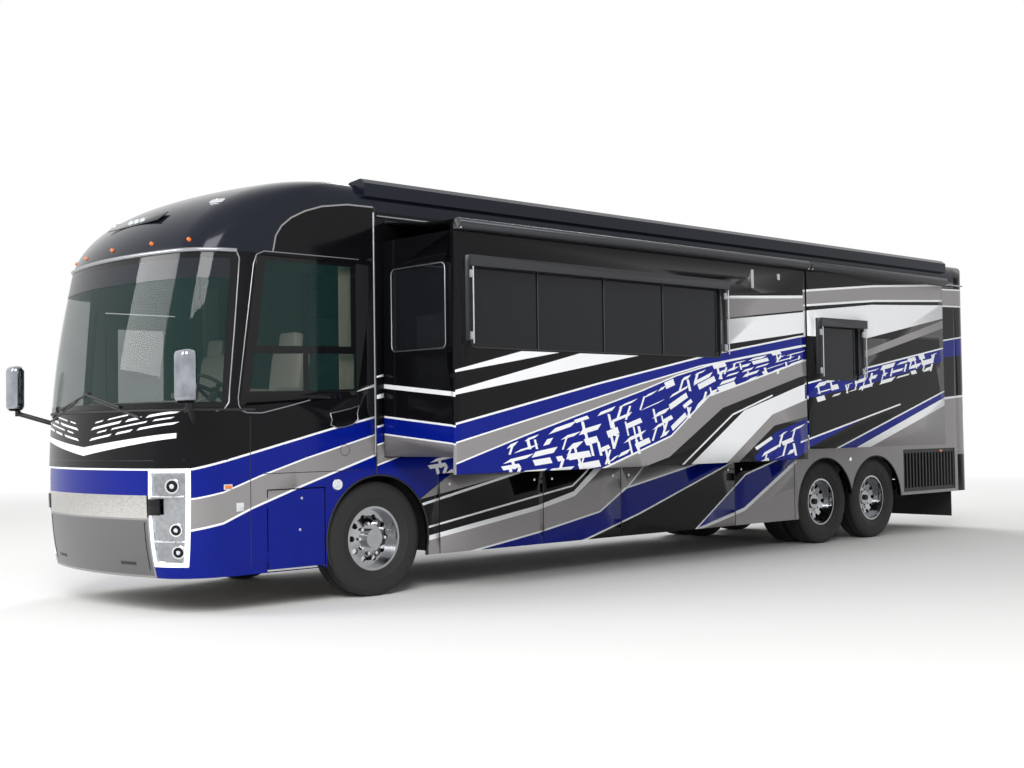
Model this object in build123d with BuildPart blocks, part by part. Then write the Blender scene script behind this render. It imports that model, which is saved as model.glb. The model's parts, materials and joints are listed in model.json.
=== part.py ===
from build123d import *
import math

# Motorhome: rear-engined coach with a tag axle and slide-out rooms.
# Front faces -Y, the driver's side is +X, up is +Z, the floor is z = 0.
# The origin is on the floor, at the middle of the overall length and width. All sizes in mm.

# Overall sizes
body_length = 13000.0
body_width = 2570.0
roof_height = 3790.0
front_overhang = 2230.0
wheelbase = 7080.0
tag_spacing = 1165.0

# Heights of the body
nose_bottom = 315.0
skirt_bottom = 338.0
rear_skirt_bottom = 530.0
belt_height = 1705.0
header_drop = 770.0
roof_edge = 200.0
roof_crown = 20.0
roof_lip = 60.0
floor_top = 1230.0
floor_thickness = 60.0

# Walls, panes and gaps
wall = 50.0
pane = 8.0
seat_gap = 0.3
door_gap = 10.0
hinge_radius = door_gap / 2 - seat_gap
hinge_web = 2.0
pin_clearance = 0.1

# Moulded ends of the body
cap_length = 2210.0
rear_cap_length = 400.0
nose_bow = 240.0
nose_corner = 430.0
tail_corner = 280.0

# Stations worked out along the coach
half_width = body_width / 2
nose_y = -body_length / 2
tail_y = body_length / 2
front_axle_y = nose_y + front_overhang
drive_axle_y = front_axle_y + wheelbase
tag_axle_y = drive_axle_y + tag_spacing
cap_joint_y = nose_y + cap_length
rear_joint_y = tail_y - rear_cap_length
shoulder_height = roof_height - roof_crown - roof_edge
header_height = roof_height - header_drop
inner_half = half_width - wall
side_wall_top = shoulder_height - roof_lip
floor_bottom = floor_top - floor_thickness

# Wheels and tyres
tyre_radius = 525.0
tyre_width = 296.0
rim_radius = 286.0
rim_flange = 304.0
rim_width = 230.0
rim_wall = 14.0
disc_thickness = 22.0
hub_radius = 130.0
hand_hole_radius = 27.0
hand_hole_count = 10
hand_hole_pitch = 195.0
wheel_inset = 195.0
wheel_plane_x = half_width - wheel_inset
dual_spacing = 335.0
axle_z = tyre_radius

# Wheel arches
front_arch_radius = 575.0
rear_arch_radius = 596.0
rear_arch_drop = 45.0


def save(block, name):
    block.part.label = name
    export_step(block.part, f"parts/{name}.step")


def rounded_width(height, inset):
    """Half width of the body at a height, following the rounded roof edge."""
    radius = roof_edge - inset
    rise = min(max(height - shoulder_height, 0.0), radius)
    return half_width - roof_edge + math.sqrt(radius**2 - rise**2)


# Nose sections: height, how far the nose stands back there
lower_nose = (
    (nose_bottom, 80.0),
    (715.0, 12.0),
    (1175.0, 0.0),
    (belt_height, 25.0),
    (belt_height + 695.0, 110.0),
    (header_height, 235.0),
)
upper_nose = (
    (header_height, 235.0),
    (roof_height - 490.0, 405.0),
    (roof_height - 275.0, 675.0),
    (roof_height - 120.0, 1020.0),
    (roof_height - roof_crown, 1430.0),
)


def nose_block(sections, inset, drop, reach):
    """Solid nose of the coach, its skin moved inwards by inset and its top lowered by drop."""
    with BuildPart() as block:
        for height, setback in sections:
            level = height - drop
            side = rounded_width(level, inset)
            front = nose_y + setback + inset
            with BuildSketch(Plane.XY.offset(level)) as outline:
                with BuildLine():
                    bow = ThreePointArc(
                        (-side, front + nose_bow), (0, front), (side, front + nose_bow)
                    )
                    Line(bow @ 1, (side, cap_joint_y + reach))
                    Line((side, cap_joint_y + reach), (-side, cap_joint_y + reach))
                    Line((-side, cap_joint_y + reach), bow @ 0)
                make_face()
                corners = outline.vertices().group_by(Axis.Y)[0]
                fillet(corners, radius=nose_corner - inset)
        loft()
    return block.part


def lifted(sections, rise):
    """The same sections with the lowest one moved down, so that a cut runs out below."""
    (first, back), *rest = sections
    return ((first - rise, back), *rest)


def side_view(points, across, thickness):
    """Prism with its outline in the side view (y, z), from x = across outwards."""
    with BuildPart() as block:
        with BuildSketch(Plane.YZ.offset(across)):
            with BuildLine():
                Polyline(*points, close=True)
            make_face()
        extrude(amount=thickness)
    return block.part


def front_view(points, along, depth):
    """Prism with its outline in the front view (x, z), from y = along rearwards."""
    with BuildPart() as block:
        with BuildSketch(Plane.XZ.offset(-along)):
            with BuildLine():
                Polyline(*points, close=True)
            make_face()
        extrude(amount=-depth)
    return block.part


def rectangle_points(low, high):
    return ((low[0], low[1]), (high[0], low[1]), (high[0], high[1]), (low[0], high[1]))


def box_between(low, high):
    """Box from its lowest to its highest corner."""
    with BuildPart() as block:
        with BuildSketch(Plane.XY.offset(low[2])):
            with Locations(((low[0] + high[0]) / 2, (low[1] + high[1]) / 2)):
                Rectangle(high[0] - low[0], high[1] - low[1])
        extrude(amount=high[2] - low[2])
    return block.part


def upright_hinge(side, seam, low, high, web_inner):
    """Hinge pin in a door gap at the skin, on a web that comes out from the carrier."""
    x_low = min(side * web_inner, side * half_width)
    x_high = max(side * web_inner, side * half_width)
    with BuildPart() as block:
        with BuildSketch(Plane.XY.offset(low)):
            with Locations((side * half_width, seam)):
                Circle(hinge_radius)
            with Locations(((x_low + x_high) / 2, seam)):
                Rectangle(x_high - x_low, hinge_web)
        extrude(amount=high - low)
    return block.part


# Openings in the nose, all as outlines in the side view, measured from the front axle
cut_reach = 200.0
sill_gap = 15.0
sill_y = front_axle_y - 1565.0
pillar_y = front_axle_y - 1455.0
windshield_low = belt_height + sill_gap
windshield_high = header_height - sill_gap / 3
windshield_outline = (
    (nose_y - cut_reach, windshield_low),
    (sill_y, windshield_low),
    (pillar_y, windshield_high),
    (nose_y - cut_reach, windshield_high),
)
driver_window_rear = front_axle_y - 232.0
driver_window = (
    (front_axle_y - 1445.0, belt_height + 25.0),
    (driver_window_rear, belt_height + 100.0),
    (driver_window_rear, header_height),
    (front_axle_y - 1270.0, header_height),
)
entry_low = (front_axle_y - 1405.0, nose_bottom + 95.0)
entry_high = (front_axle_y - 625.0, header_height - 320.0)
service_low = (front_axle_y - 1190.0, skirt_bottom - 20.0)
service_high = (front_axle_y - 590.0, nose_bottom + 705.0)

# Lamp cluster and nose bands, as outlines in the front view
trim_reach = 20.0
lamp_width = 355.0
band_half = half_width - lamp_width - 20.0
lamp_low = (half_width - lamp_width, nose_bottom + 95.0)
lamp_high = (half_width + trim_reach, nose_bottom + 905.0)
lamp_depth = 345.0
band_low = (-band_half, nose_bottom + 495.0)
band_high = (band_half, nose_bottom + 685.0)
bumper_low = (-band_half, nose_bottom + 20.0)
bumper_high = (band_half, nose_bottom + 480.0)
trim_thickness = 30.0
lamp_thickness = 45.0
skirt_reach = 80.0
hinge_length = 90.0
service_hinges = (nose_bottom + 85.0, nose_bottom + 545.0)
entry_hinges = (entry_low[1] + 110.0, entry_low[1] + 1090.0, entry_high[1] - 260.0)

outer_lower = nose_block(lower_nose, 0.0, 0.0, 0.0)
outer_upper = nose_block(upper_nose, 0.0, 0.0, 0.0)
inner_lower = nose_block(lifted(lower_nose, skirt_reach), wall, 0.0, skirt_reach)
inner_upper = nose_block(upper_nose, wall, wall, skirt_reach)

# Front cap: moulded nose shell from the bumper to the roof, with its window and door openings
with BuildPart() as front_cap:
    add(outer_lower)
    add(outer_upper)
    add(inner_lower, mode=Mode.SUBTRACT)
    add(inner_upper, mode=Mode.SUBTRACT)
    add(side_view(windshield_outline, -body_width, 2 * body_width), mode=Mode.SUBTRACT)
    add(side_view(driver_window, 0, body_width), mode=Mode.SUBTRACT)
    add(side_view(rectangle_points(entry_low, entry_high), -body_width, body_width), mode=Mode.SUBTRACT)
    add(side_view(rectangle_points(service_low, service_high), 0, body_width), mode=Mode.SUBTRACT)
    for mirrored in (1, -1):
        low = (mirrored * lamp_low[0], lamp_low[1])
        high = (mirrored * lamp_high[0], lamp_high[1])
        add(front_view(rectangle_points(low, high), nose_y - wall, lamp_depth + wall), mode=Mode.SUBTRACT)
    add(front_view(rectangle_points(band_low, band_high), nose_y - wall, nose_corner), mode=Mode.SUBTRACT)
    add(front_view(rectangle_points(bumper_low, bumper_high), nose_y - wall, nose_corner), mode=Mode.SUBTRACT)
    with BuildSketch(Plane.YZ.offset(-body_width)):
        with Locations((front_axle_y, axle_z)):
            Circle(front_arch_radius)
        with Locations((front_axle_y, nose_bottom)):
            Rectangle(2 * front_arch_radius, 2 * (axle_z - nose_bottom))
    extrude(amount=2 * body_width, mode=Mode.SUBTRACT)
    for side, edge_y, heights in (
        (1, service_low[0], service_hinges),
        (-1, entry_low[0], entry_hinges),
    ):
        for hinge_z in heights:
            seam = edge_y + door_gap / 2
            add(upright_hinge(side, seam, hinge_z, hinge_z + hinge_length, half_width - hinge_web))
            foot_x = side * half_width - (hinge_web if side > 0 else 0)
            add(
                box_between(
                    (foot_x, edge_y - hinge_web, hinge_z), (foot_x + hinge_web, seam, hinge_z + hinge_length)
                )
            )
save(front_cap, "front_cap")

# Windshield: one curved pane that follows the nose
pane_lower = nose_block(lower_nose, pane, 0.0, skirt_reach)
trim_lower = nose_block(lifted(lower_nose, skirt_reach), trim_thickness, 0.0, skirt_reach)
lamp_lower = nose_block(lifted(lower_nose, skirt_reach), lamp_thickness, 0.0, skirt_reach)
windshield_pane = (
    (nose_y - cut_reach, windshield_low + seat_gap),
    (sill_y - seat_gap, windshield_low + seat_gap),
    (pillar_y - seat_gap, windshield_high - seat_gap),
    (nose_y - cut_reach, windshield_high - seat_gap),
)
with BuildPart() as windshield:
    add(outer_lower)
    add(pane_lower, mode=Mode.SUBTRACT)
    add(side_view(windshield_pane, -body_width, 2 * body_width), mode=Mode.INTERSECT)
save(windshield, "windshield")

# Headlamp clusters: lens blocks that wrap round the corners of the nose
with BuildPart() as headlamps:
    add(outer_lower)
    add(lamp_lower, mode=Mode.SUBTRACT)
    with BuildPart(mode=Mode.PRIVATE) as corners:
        for mirrored in (1, -1):
            low = (mirrored * (lamp_low[0] + seat_gap), lamp_low[1] + seat_gap)
            high = (mirrored * lamp_high[0], lamp_high[1] - seat_gap)
            add(front_view(rectangle_points(low, high), nose_y - wall, lamp_depth + wall - seat_gap))
    add(corners.part, mode=Mode.INTERSECT)
save(headlamps, "headlamps")

# Bright band and lower bumper panel across the nose
for name, low, high in (("nose_band", band_low, band_high), ("bumper_panel", bumper_low, bumper_high)):
    with BuildPart() as nose_trim:
        add(outer_lower)
        add(trim_lower, mode=Mode.SUBTRACT)
        inside_low = (low[0] + seat_gap, low[1] + seat_gap)
        inside_high = (high[0] - seat_gap, high[1] - seat_gap)
        add(
            front_view(rectangle_points(inside_low, inside_high), nose_y - wall, nose_corner - seat_gap),
            mode=Mode.INTERSECT,
        )
    save(nose_trim, name)

slide_floor_z = floor_top + 40.0
slide_top_z = roof_height - 550.0
slide_reach = 1020.0
slide_outer_x = half_width + slide_reach
slide_inner_x = half_width - 195.0
runner_outer_x = half_width - 65.0
runner_inset = 260.0
runner_half = 45.0
slide_wall = 40.0
slide_clearance = 10.0
flange_side = 22.0
flange_top = 60.0
slide_travel = slide_outer_x - slide_wall - slide_clearance - half_width
pane_corner = 40.0
end_window = (half_width + 115.0, slide_outer_x - 145.0, slide_top_z - 1020.0, slide_top_z - 270.0)
topper_radius = 48.0
topper_z = slide_top_z + topper_radius - 1.0
awning_depth = 90.0
awning_height = 95.0
awning_reach = 60.0
awning_arm = 45.0

# Windows of the slide-out rooms: front and rear end from the front axle, low, high
front_left_window = (245.0, 3715.0, slide_top_z - 1020.0, slide_top_z - 290.0)
rear_left_window = (5495.0, 6300.0, slide_top_z - 1225.0, slide_top_z - 600.0)
right_window = (1500.0, 3300.0, slide_top_z - 1020.0, slide_top_z - 380.0)
# Slide-out rooms: side (+1 driver's, -1 curb), front and rear end from the front axle,
# lip below the box, window in the outer wall, glazed front end
slide_rooms = (
    ("slide_front_left", 1, 80.0, 5215.0, 150.0, front_left_window, True),
    ("slide_rear_left", 1, 5290.0, 8210.0, 40.0, rear_left_window, False),
    ("slide_right", -1, 900.0, 4600.0, 60.0, right_window, True),
)

for name, side, start, end, lip, window, end_glazed in slide_rooms:
    front = front_axle_y + start
    rear = front_axle_y + end
    inner = side * slide_inner_x
    outer = side * slide_outer_x
    skin = side * (slide_outer_x - slide_wall)
    pane_front = front_axle_y + window[0]
    pane_rear = front_axle_y + window[1]
    with BuildPart() as room:
        with BuildSketch(Plane.XZ.offset(-front)):
            with Locations(((inner + outer) / 2, (slide_floor_z + slide_top_z) / 2)):
                Rectangle(abs(outer - inner), slide_top_z - slide_floor_z)
        extrude(amount=-(rear - front))
        with BuildSketch(Plane.YZ.offset(inner)):
            with Locations(((front + rear) / 2, (slide_floor_z + slide_top_z) / 2)):
                Rectangle(rear - front - 2 * slide_wall, slide_top_z - slide_floor_z - 2 * slide_wall)
        extrude(amount=skin - inner, mode=Mode.SUBTRACT)
        with BuildSketch(Plane.YZ.offset(skin)):
            with Locations(((front + rear) / 2, (slide_floor_z - lip + slide_top_z + flange_top) / 2)):
                Rectangle(rear - front + 2 * flange_side, slide_top_z + flange_top - slide_floor_z + lip)
        extrude(amount=outer - skin)
        with BuildSketch(Plane.YZ.offset(outer)):
            with Locations(((pane_front + pane_rear) / 2, (window[2] + window[3]) / 2)):
                RectangleRounded(pane_rear - pane_front, window[3] - window[2], pane_corner)
        extrude(amount=-side * 2 * slide_wall, mode=Mode.SUBTRACT)
        if end_glazed:
            with BuildSketch(Plane.XZ.offset(-(front - flange_side))):
                middle = side * (end_window[0] + end_window[1]) / 2
                with Locations((middle, (end_window[2] + end_window[3]) / 2)):
                    RectangleRounded(
                        end_window[1] - end_window[0], end_window[3] - end_window[2], pane_corner
                    )
            extrude(amount=-(slide_wall + flange_side + seat_gap), mode=Mode.SUBTRACT)
        # runners that carry the room on the floor deck
        runner_inner = min(inner, side * runner_outer_x)
        for runner_y in (front + runner_inset, rear - runner_inset):
            add(
                box_between(
                    (runner_inner, runner_y - runner_half, floor_top + seat_gap),
                    (runner_inner + runner_outer_x - slide_inner_x, runner_y + runner_half, slide_floor_z),
                )
            )
        # roller housing of the roof topper, on two end brackets
        with BuildSketch(Plane.XZ.offset(-(front - flange_side))):
            with Locations((outer + side * topper_radius, topper_z)):
                Circle(topper_radius)
            with Locations((outer + side * topper_radius / 2, topper_z - topper_radius / 2)):
                Rectangle(topper_radius, topper_radius)
        extrude(amount=-(rear - front + 2 * flange_side))
        # window awning: a cassette over the window and an arm down each side
        awning_front = pane_front - awning_reach
        awning_rear = pane_rear + awning_reach
        cassette_low = window[3] - awning_height / 4
        arm_bottom = window[2] + awning_reach
        with BuildSketch(Plane.YZ.offset(outer)):
            with Locations(((awning_front + awning_rear) / 2, cassette_low + awning_height / 2)):
                Rectangle(awning_rear - awning_front, awning_height)
        extrude(amount=side * awning_depth)
        with BuildSketch(Plane.YZ.offset(outer)):
            for arm_y in (awning_front + awning_arm / 2, awning_rear - awning_arm / 2):
                with Locations((arm_y, (arm_bottom + cassette_low) / 2)):
                    Rectangle(awning_arm, cassette_low - arm_bottom)
        extrude(amount=side * awning_arm)
    save(room, name)
    with BuildPart() as glazing:
        with BuildSketch(Plane.YZ.offset(outer - side * pane)):
            with Locations(((pane_front + pane_rear) / 2, (window[2] + window[3]) / 2)):
                RectangleRounded(
                    pane_rear - pane_front - 2 * seat_gap,
                    window[3] - window[2] - 2 * seat_gap,
                    pane_corner - seat_gap,
                )
        extrude(amount=-side * pane)
        if end_glazed:
            with BuildSketch(Plane.XZ.offset(-(front + pane))):
                middle = side * (end_window[0] + end_window[1]) / 2
                with Locations((middle, (end_window[2] + end_window[3]) / 2)):
                    RectangleRounded(
                        end_window[1] - end_window[0] - 2 * seat_gap,
                        end_window[3] - end_window[2] - 2 * seat_gap,
                        pane_corner - seat_gap,
                    )
            extrude(amount=-pane)
    save(glazing, name.replace("slide", "slide_glass"))

# Baggage bays along the skirt: seams measured from the front axle
bay_seams = (715.0, 2085.0, 3250.0, 5220.0, 6405.0)
bay_top = floor_top - 145.0
side_window_low = header_height - 870.0
side_window_high = header_height - 150.0
side_windows = (
    (5000.0, 5900.0, side_window_low, side_window_high),
    (6800.0, 7700.0, side_window_low, side_window_high),
)
grille_margin = 80.0
grille_start = tag_axle_y - front_axle_y + rear_arch_radius + grille_margin
grille_end = rear_joint_y - front_axle_y - grille_margin
grille_bottom = rear_skirt_bottom + 40.0
grille_top = bay_top + 60.0
grille_slots = 16
slot_share = 0.62

for side, side_name in ((1, "left"), (-1, "right")):
    seams = [front_axle_y + seam for seam in bay_seams]
    with BuildPart() as side_wall:
        with BuildSketch(Plane.YZ.offset(side * inner_half)):
            with Locations(((cap_joint_y + rear_joint_y) / 2, (skirt_bottom + side_wall_top) / 2)):
                Rectangle(rear_joint_y - cap_joint_y - 2 * seat_gap, side_wall_top - skirt_bottom)
            with Locations((front_axle_y, axle_z)):
                Circle(front_arch_radius, mode=Mode.SUBTRACT)
            with Locations((front_axle_y, 0)):
                Rectangle(2 * front_arch_radius, 2 * axle_z, mode=Mode.SUBTRACT)
            for wheel_y in (drive_axle_y, tag_axle_y):
                with Locations((wheel_y, axle_z - rear_arch_drop)):
                    Circle(rear_arch_radius, mode=Mode.SUBTRACT)
                with Locations((wheel_y, 0)):
                    Rectangle(2 * rear_arch_radius, 2 * (axle_z - rear_arch_drop), mode=Mode.SUBTRACT)
            with Locations(((tag_axle_y + tail_y) / 2, rear_skirt_bottom / 2)):
                Rectangle(tail_y - tag_axle_y, rear_skirt_bottom, mode=Mode.SUBTRACT)
            with Locations(((seams[0] + seams[-1]) / 2, (bay_top + door_gap) / 2)):
                Rectangle(seams[-1] - seams[0] + door_gap, bay_top + door_gap, mode=Mode.SUBTRACT)
            for name, room_side, start, end, lip, window, end_glazed in slide_rooms:
                if room_side == side:
                    with Locations((front_axle_y + (start + end) / 2, (slide_floor_z + slide_top_z) / 2)):
                        Rectangle(
                            end - start + 2 * slide_clearance,
                            slide_top_z - slide_floor_z + 2 * slide_clearance,
                            mode=Mode.SUBTRACT,
                        )
            if side_name == "right":
                for start, end, low, high in side_windows:
                    with Locations((front_axle_y + (start + end) / 2, (low + high) / 2)):
                        RectangleRounded(end - start, high - low, pane_corner, mode=Mode.SUBTRACT)
            else:
                with Locations(
                    (front_axle_y + (grille_start + grille_end) / 2, (grille_bottom + grille_top) / 2)
                ):
                    Rectangle(grille_end - grille_start, grille_top - grille_bottom, mode=Mode.SUBTRACT)
        extrude(amount=side * wall)
    save(side_wall, f"side_wall_{side_name}")
    for number in range(len(seams) - 1):
        with BuildPart() as bay_door:
            with BuildSketch(Plane.YZ.offset(side * inner_half)):
                with Locations(((seams[number] + seams[number + 1]) / 2, (skirt_bottom + bay_top) / 2)):
                    Rectangle(seams[number + 1] - seams[number] - door_gap, bay_top - skirt_bottom)
            extrude(amount=side * wall)
        save(bay_door, f"bay_door_{side_name}_{number + 1}")

# Radiator grille: framed panel with upright slots behind the tag wheel
with BuildPart() as radiator_grille:
    middle = (front_axle_y + (grille_start + grille_end) / 2, (grille_bottom + grille_top) / 2)
    with BuildSketch(Plane.YZ.offset(inner_half)):
        with Locations(middle):
            Rectangle(grille_end - grille_start - 2 * seat_gap, grille_top - grille_bottom - 2 * seat_gap)
        slot_pitch = (grille_end - grille_start - wall) / grille_slots
        with Locations(middle):
            with GridLocations(slot_pitch, 0, grille_slots, 1):
                Rectangle(slot_pitch * slot_share, grille_top - grille_bottom - 2 * wall, mode=Mode.SUBTRACT)
    extrude(amount=wall - pane)
save(radiator_grille, "radiator_grille")

# Service door ahead of the driver's side front wheel
with BuildPart() as service_door:
    low = (service_low[0] + door_gap, skirt_bottom)
    high = (service_high[0] - door_gap, service_high[1] - door_gap)
    add(side_view(rectangle_points(low, high), inner_half, wall))
save(service_door, "service_door")

# Entry door on the curb side ahead of the front wheel, with its window
entry_frame = 130.0
entry_window = (
    (entry_low[0] + entry_frame, floor_top + 310.0),
    (entry_high[0] - entry_frame, entry_high[1] - 160.0),
)
with BuildPart() as entry_door:
    low = (entry_low[0] + door_gap, entry_low[1] + door_gap)
    high = (entry_high[0] - door_gap, entry_high[1] - door_gap)
    add(side_view(rectangle_points(low, high), -half_width, wall))
    add(side_view(rectangle_points(*entry_window), -body_width, body_width), mode=Mode.SUBTRACT)
save(entry_door, "entry_door")

with BuildPart() as entry_glass:
    low = (entry_window[0][0] + seat_gap, entry_window[0][1] + seat_gap)
    high = (entry_window[1][0] - seat_gap, entry_window[1][1] - seat_gap)
    add(side_view(rectangle_points(low, high), -half_width + pane, pane))
save(entry_glass, "entry_glass")

# Fixed side panes: driver's window and the curb side windows
with BuildPart() as window_glass:
    driver_pane = (
        (driver_window[0][0] + seat_gap, driver_window[0][1] + seat_gap),
        (driver_window[1][0] - seat_gap, driver_window[1][1] + seat_gap),
        (driver_window[2][0] - seat_gap, driver_window[2][1] - seat_gap),
        (driver_window[3][0] + seat_gap, driver_window[3][1] - seat_gap),
    )
    add(side_view(driver_pane, half_width - 2 * pane, pane))
    with BuildSketch(Plane.YZ.offset(-half_width + pane)):
        for start, end, low, high in side_windows:
            with Locations((front_axle_y + (start + end) / 2, (low + high) / 2)):
                RectangleRounded(
                    end - start - 2 * seat_gap, high - low - 2 * seat_gap, pane_corner - seat_gap
                )
    extrude(amount=pane)
save(window_glass, "window_glass")


def roof_section(inset, floor_level):
    """Face of the body above a level, its top edges rounded and its crown slightly raised."""
    side = half_width - inset
    edge = half_width - roof_edge
    top = roof_height - roof_crown - inset
    drop = roof_edge - inset
    with BuildSketch() as face:
        with BuildLine():
            wall_line = Line((side, floor_level), (side, top - drop))
            bend = JernArc(wall_line @ 1, (0, 1), drop, 90)
            crown = ThreePointArc(bend @ 1, (0, top + roof_crown), (-edge, top))
            far_bend = JernArc(crown @ 1, (-1, 0), drop, 90)
            far_wall = Line(far_bend @ 1, (-side, floor_level))
            Line(far_wall @ 1, wall_line @ 0)
        make_face()
    return face.sketch


# Roof panel between the caps
roof_outer = roof_section(0.0, side_wall_top + seat_gap)
roof_inner = roof_section(wall, side_wall_top - wall)
roof_clearance = roof_section(-3 * seat_gap, floor_top)
with BuildPart() as roof_panel:
    with BuildSketch(Plane.XZ.offset(-(cap_joint_y + seat_gap))):
        add(roof_outer)
        add(roof_inner, mode=Mode.SUBTRACT)
    extrude(amount=-(rear_joint_y - cap_joint_y - 2 * seat_gap))
save(roof_panel, "roof_panel")

# Rear cap: moulded tail shell with rounded corners and the engine hatch opening
hatch_half = half_width - 425.0
hatch_low = (-hatch_half, rear_skirt_bottom + 120.0)
hatch_high = (hatch_half, belt_height + 95.0)
tail_lamp_low = (half_width - 280.0, belt_height - 600.0)
tail_lamp_high = (half_width + wall, belt_height + 240.0)
tail_lamp_depth = 200.0
hatch_hinges = (hinge_length - hatch_half, 0.0, hatch_half - hinge_length)


def tail_block(inset, bottom):
    """Solid tail of the coach, its skin moved inwards by inset.

    The plan is a seat gap wider than the cross section, so that the corner and the roof
    edge don't touch the side in one point.
    """
    section = roof_section(inset, bottom)
    with BuildPart() as block:
        with BuildSketch(Plane.XY.offset(bottom)) as outline:
            with Locations((0, (rear_joint_y + tail_y - inset) / 2)):
                Rectangle(2 * (half_width - inset + seat_gap), tail_y - inset - rear_joint_y)
            fillet(outline.vertices().group_by(Axis.Y)[-1], radius=tail_corner - inset)
        extrude(amount=roof_height - bottom)
        with BuildSketch(Plane.XZ.offset(-rear_joint_y)):
            add(section)
        extrude(amount=-2 * rear_cap_length, mode=Mode.INTERSECT)
    return block.part


tail_outer = tail_block(0.0, rear_skirt_bottom)
with BuildPart() as rear_cap:
    add(tail_outer)
    add(tail_block(wall, 0.0), mode=Mode.SUBTRACT)
    add(
        front_view(rectangle_points(hatch_low, hatch_high), tail_y - 2 * wall, 3 * wall), mode=Mode.SUBTRACT
    )
    for mirrored in (1, -1):
        low = (mirrored * tail_lamp_low[0], tail_lamp_low[1])
        high = (mirrored * tail_lamp_high[0], tail_lamp_high[1])
        add(
            front_view(rectangle_points(low, high), tail_y - tail_lamp_depth, 2 * tail_lamp_depth),
            mode=Mode.SUBTRACT,
        )
    hinge_line = hatch_high[1] - door_gap / 2
    for hinge_x in hatch_hinges:
        with BuildSketch(Plane.YZ.offset(hinge_x - hinge_length / 2)):
            with Locations((tail_y, hinge_line)):
                Circle(hinge_radius)
            with Locations((tail_y - hinge_web / 2, hinge_line + door_gap / 4 + hinge_web / 2)):
                Rectangle(hinge_web, door_gap / 2 + hinge_web)
        extrude(amount=hinge_length)
save(rear_cap, "rear_cap")

with BuildPart() as tail_lamps:
    add(tail_outer)
    add(tail_block(trim_thickness, 0.0), mode=Mode.SUBTRACT)
    with BuildPart(mode=Mode.PRIVATE) as corners:
        for mirrored in (1, -1):
            low = (mirrored * (tail_lamp_low[0] + seat_gap), tail_lamp_low[1] + seat_gap)
            high = (mirrored * tail_lamp_high[0], tail_lamp_high[1] - seat_gap)
            lamp_front = tail_y - tail_lamp_depth + seat_gap
            add(front_view(rectangle_points(low, high), lamp_front, 2 * tail_lamp_depth))
    add(corners.part, mode=Mode.INTERSECT)
save(tail_lamps, "tail_lamps")

with BuildPart() as rear_hatch:
    low = (hatch_low[0] + door_gap, hatch_low[1] + door_gap)
    high = (hatch_high[0] - door_gap, hatch_high[1] - door_gap)
    add(front_view(rectangle_points(low, high), tail_y - wall, wall))
save(rear_hatch, "rear_hatch")

# Roof edge housings: one long moulding over each side wall
fairing_start = -150.0
fairing_end = tail_y - front_axle_y - 660.0
fairing_foot = roof_height - 165.0
fairing_bulge = 30.0
fairing_inner = 260.0
with BuildPart() as roof_fairings:
    for side in (1, -1):
        with BuildSketch(Plane.XZ.offset(-(front_axle_y + fairing_start))):
            with BuildLine():
                Polyline(
                    (side * (half_width - fairing_inner), roof_height - roof_crown - wall),
                    (side * (half_width - fairing_inner + 2 * fairing_bulge), roof_height),
                    (side * (half_width - fairing_bulge), roof_height + fairing_bulge / 2),
                    (side * (half_width + fairing_bulge), roof_height - fairing_bulge),
                    (side * (half_width + fairing_bulge), fairing_foot + fairing_bulge / 2),
                    (side * (half_width - fairing_bulge), fairing_foot),
                    close=True,
                )
            make_face()
            add(roof_clearance, mode=Mode.SUBTRACT)
        extrude(amount=-(fairing_end - fairing_start))
save(roof_fairings, "roof_fairings")

# Roof air conditioners
air_length = 1080.0
air_width = 700.0
air_height = 200.0
air_corner = 90.0
air_taper = 9.0
air_stations = (1550.0, 4850.0, tail_y - front_axle_y - 2520.0)
with BuildPart() as air_conditioners:
    for station in air_stations:
        with BuildSketch(Plane.XY.offset(roof_height + seat_gap)) as foot:
            with Locations((0, front_axle_y + station)):
                RectangleRounded(air_width, air_length, air_corner)
        extrude(amount=air_height, taper=air_taper)
save(air_conditioners, "air_conditioners")

# Floor deck on the rails, cut for the entry steps
steps_inner_x = half_width - 685.0
deck_front = front_axle_y - 1600.0
deck_nose_half = half_width - 285.0
deck_nose = 250.0
with BuildPart() as floor_deck:
    with BuildSketch(Plane.XY.offset(floor_bottom)):
        with Locations((0, (deck_front + rear_joint_y) / 2)):
            Rectangle(2 * (inner_half - 2 * seat_gap), rear_joint_y - deck_front)
        with Locations((0, deck_front)):
            Rectangle(2 * deck_nose_half, 2 * deck_nose)
        with Locations((-(inner_half + steps_inner_x) / 2, (entry_low[0] + entry_high[0]) / 2)):
            Rectangle(inner_half - steps_inner_x, entry_high[0] - entry_low[0], mode=Mode.SUBTRACT)
    extrude(amount=floor_thickness)
save(floor_deck, "floor_deck")

# Entry steps inside the door
step_count = 3
step_sheet = 30.0
step_rise = (floor_top - entry_low[1]) / (step_count + 1)
step_run = (inner_half - steps_inner_x - 2 * seat_gap) / step_count
steps_front = entry_low[0] + seat_gap
steps_rear = entry_high[0] - seat_gap
with BuildPart() as entry_steps:
    for step in range(step_count):
        edge_x = -inner_half + seat_gap + step * step_run
        tread_z = entry_low[1] + step * step_rise
        tread_end = edge_x + step_run
        add(box_between((edge_x, steps_front, tread_z), (tread_end, steps_rear, tread_z + step_sheet)))
        riser_top = min(tread_z + step_rise + step_sheet, floor_top)
        add(
            box_between(
                (tread_end - step_sheet, steps_front, tread_z), (tread_end, steps_rear, riser_top)
            )
        )
save(entry_steps, "entry_steps")

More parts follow.
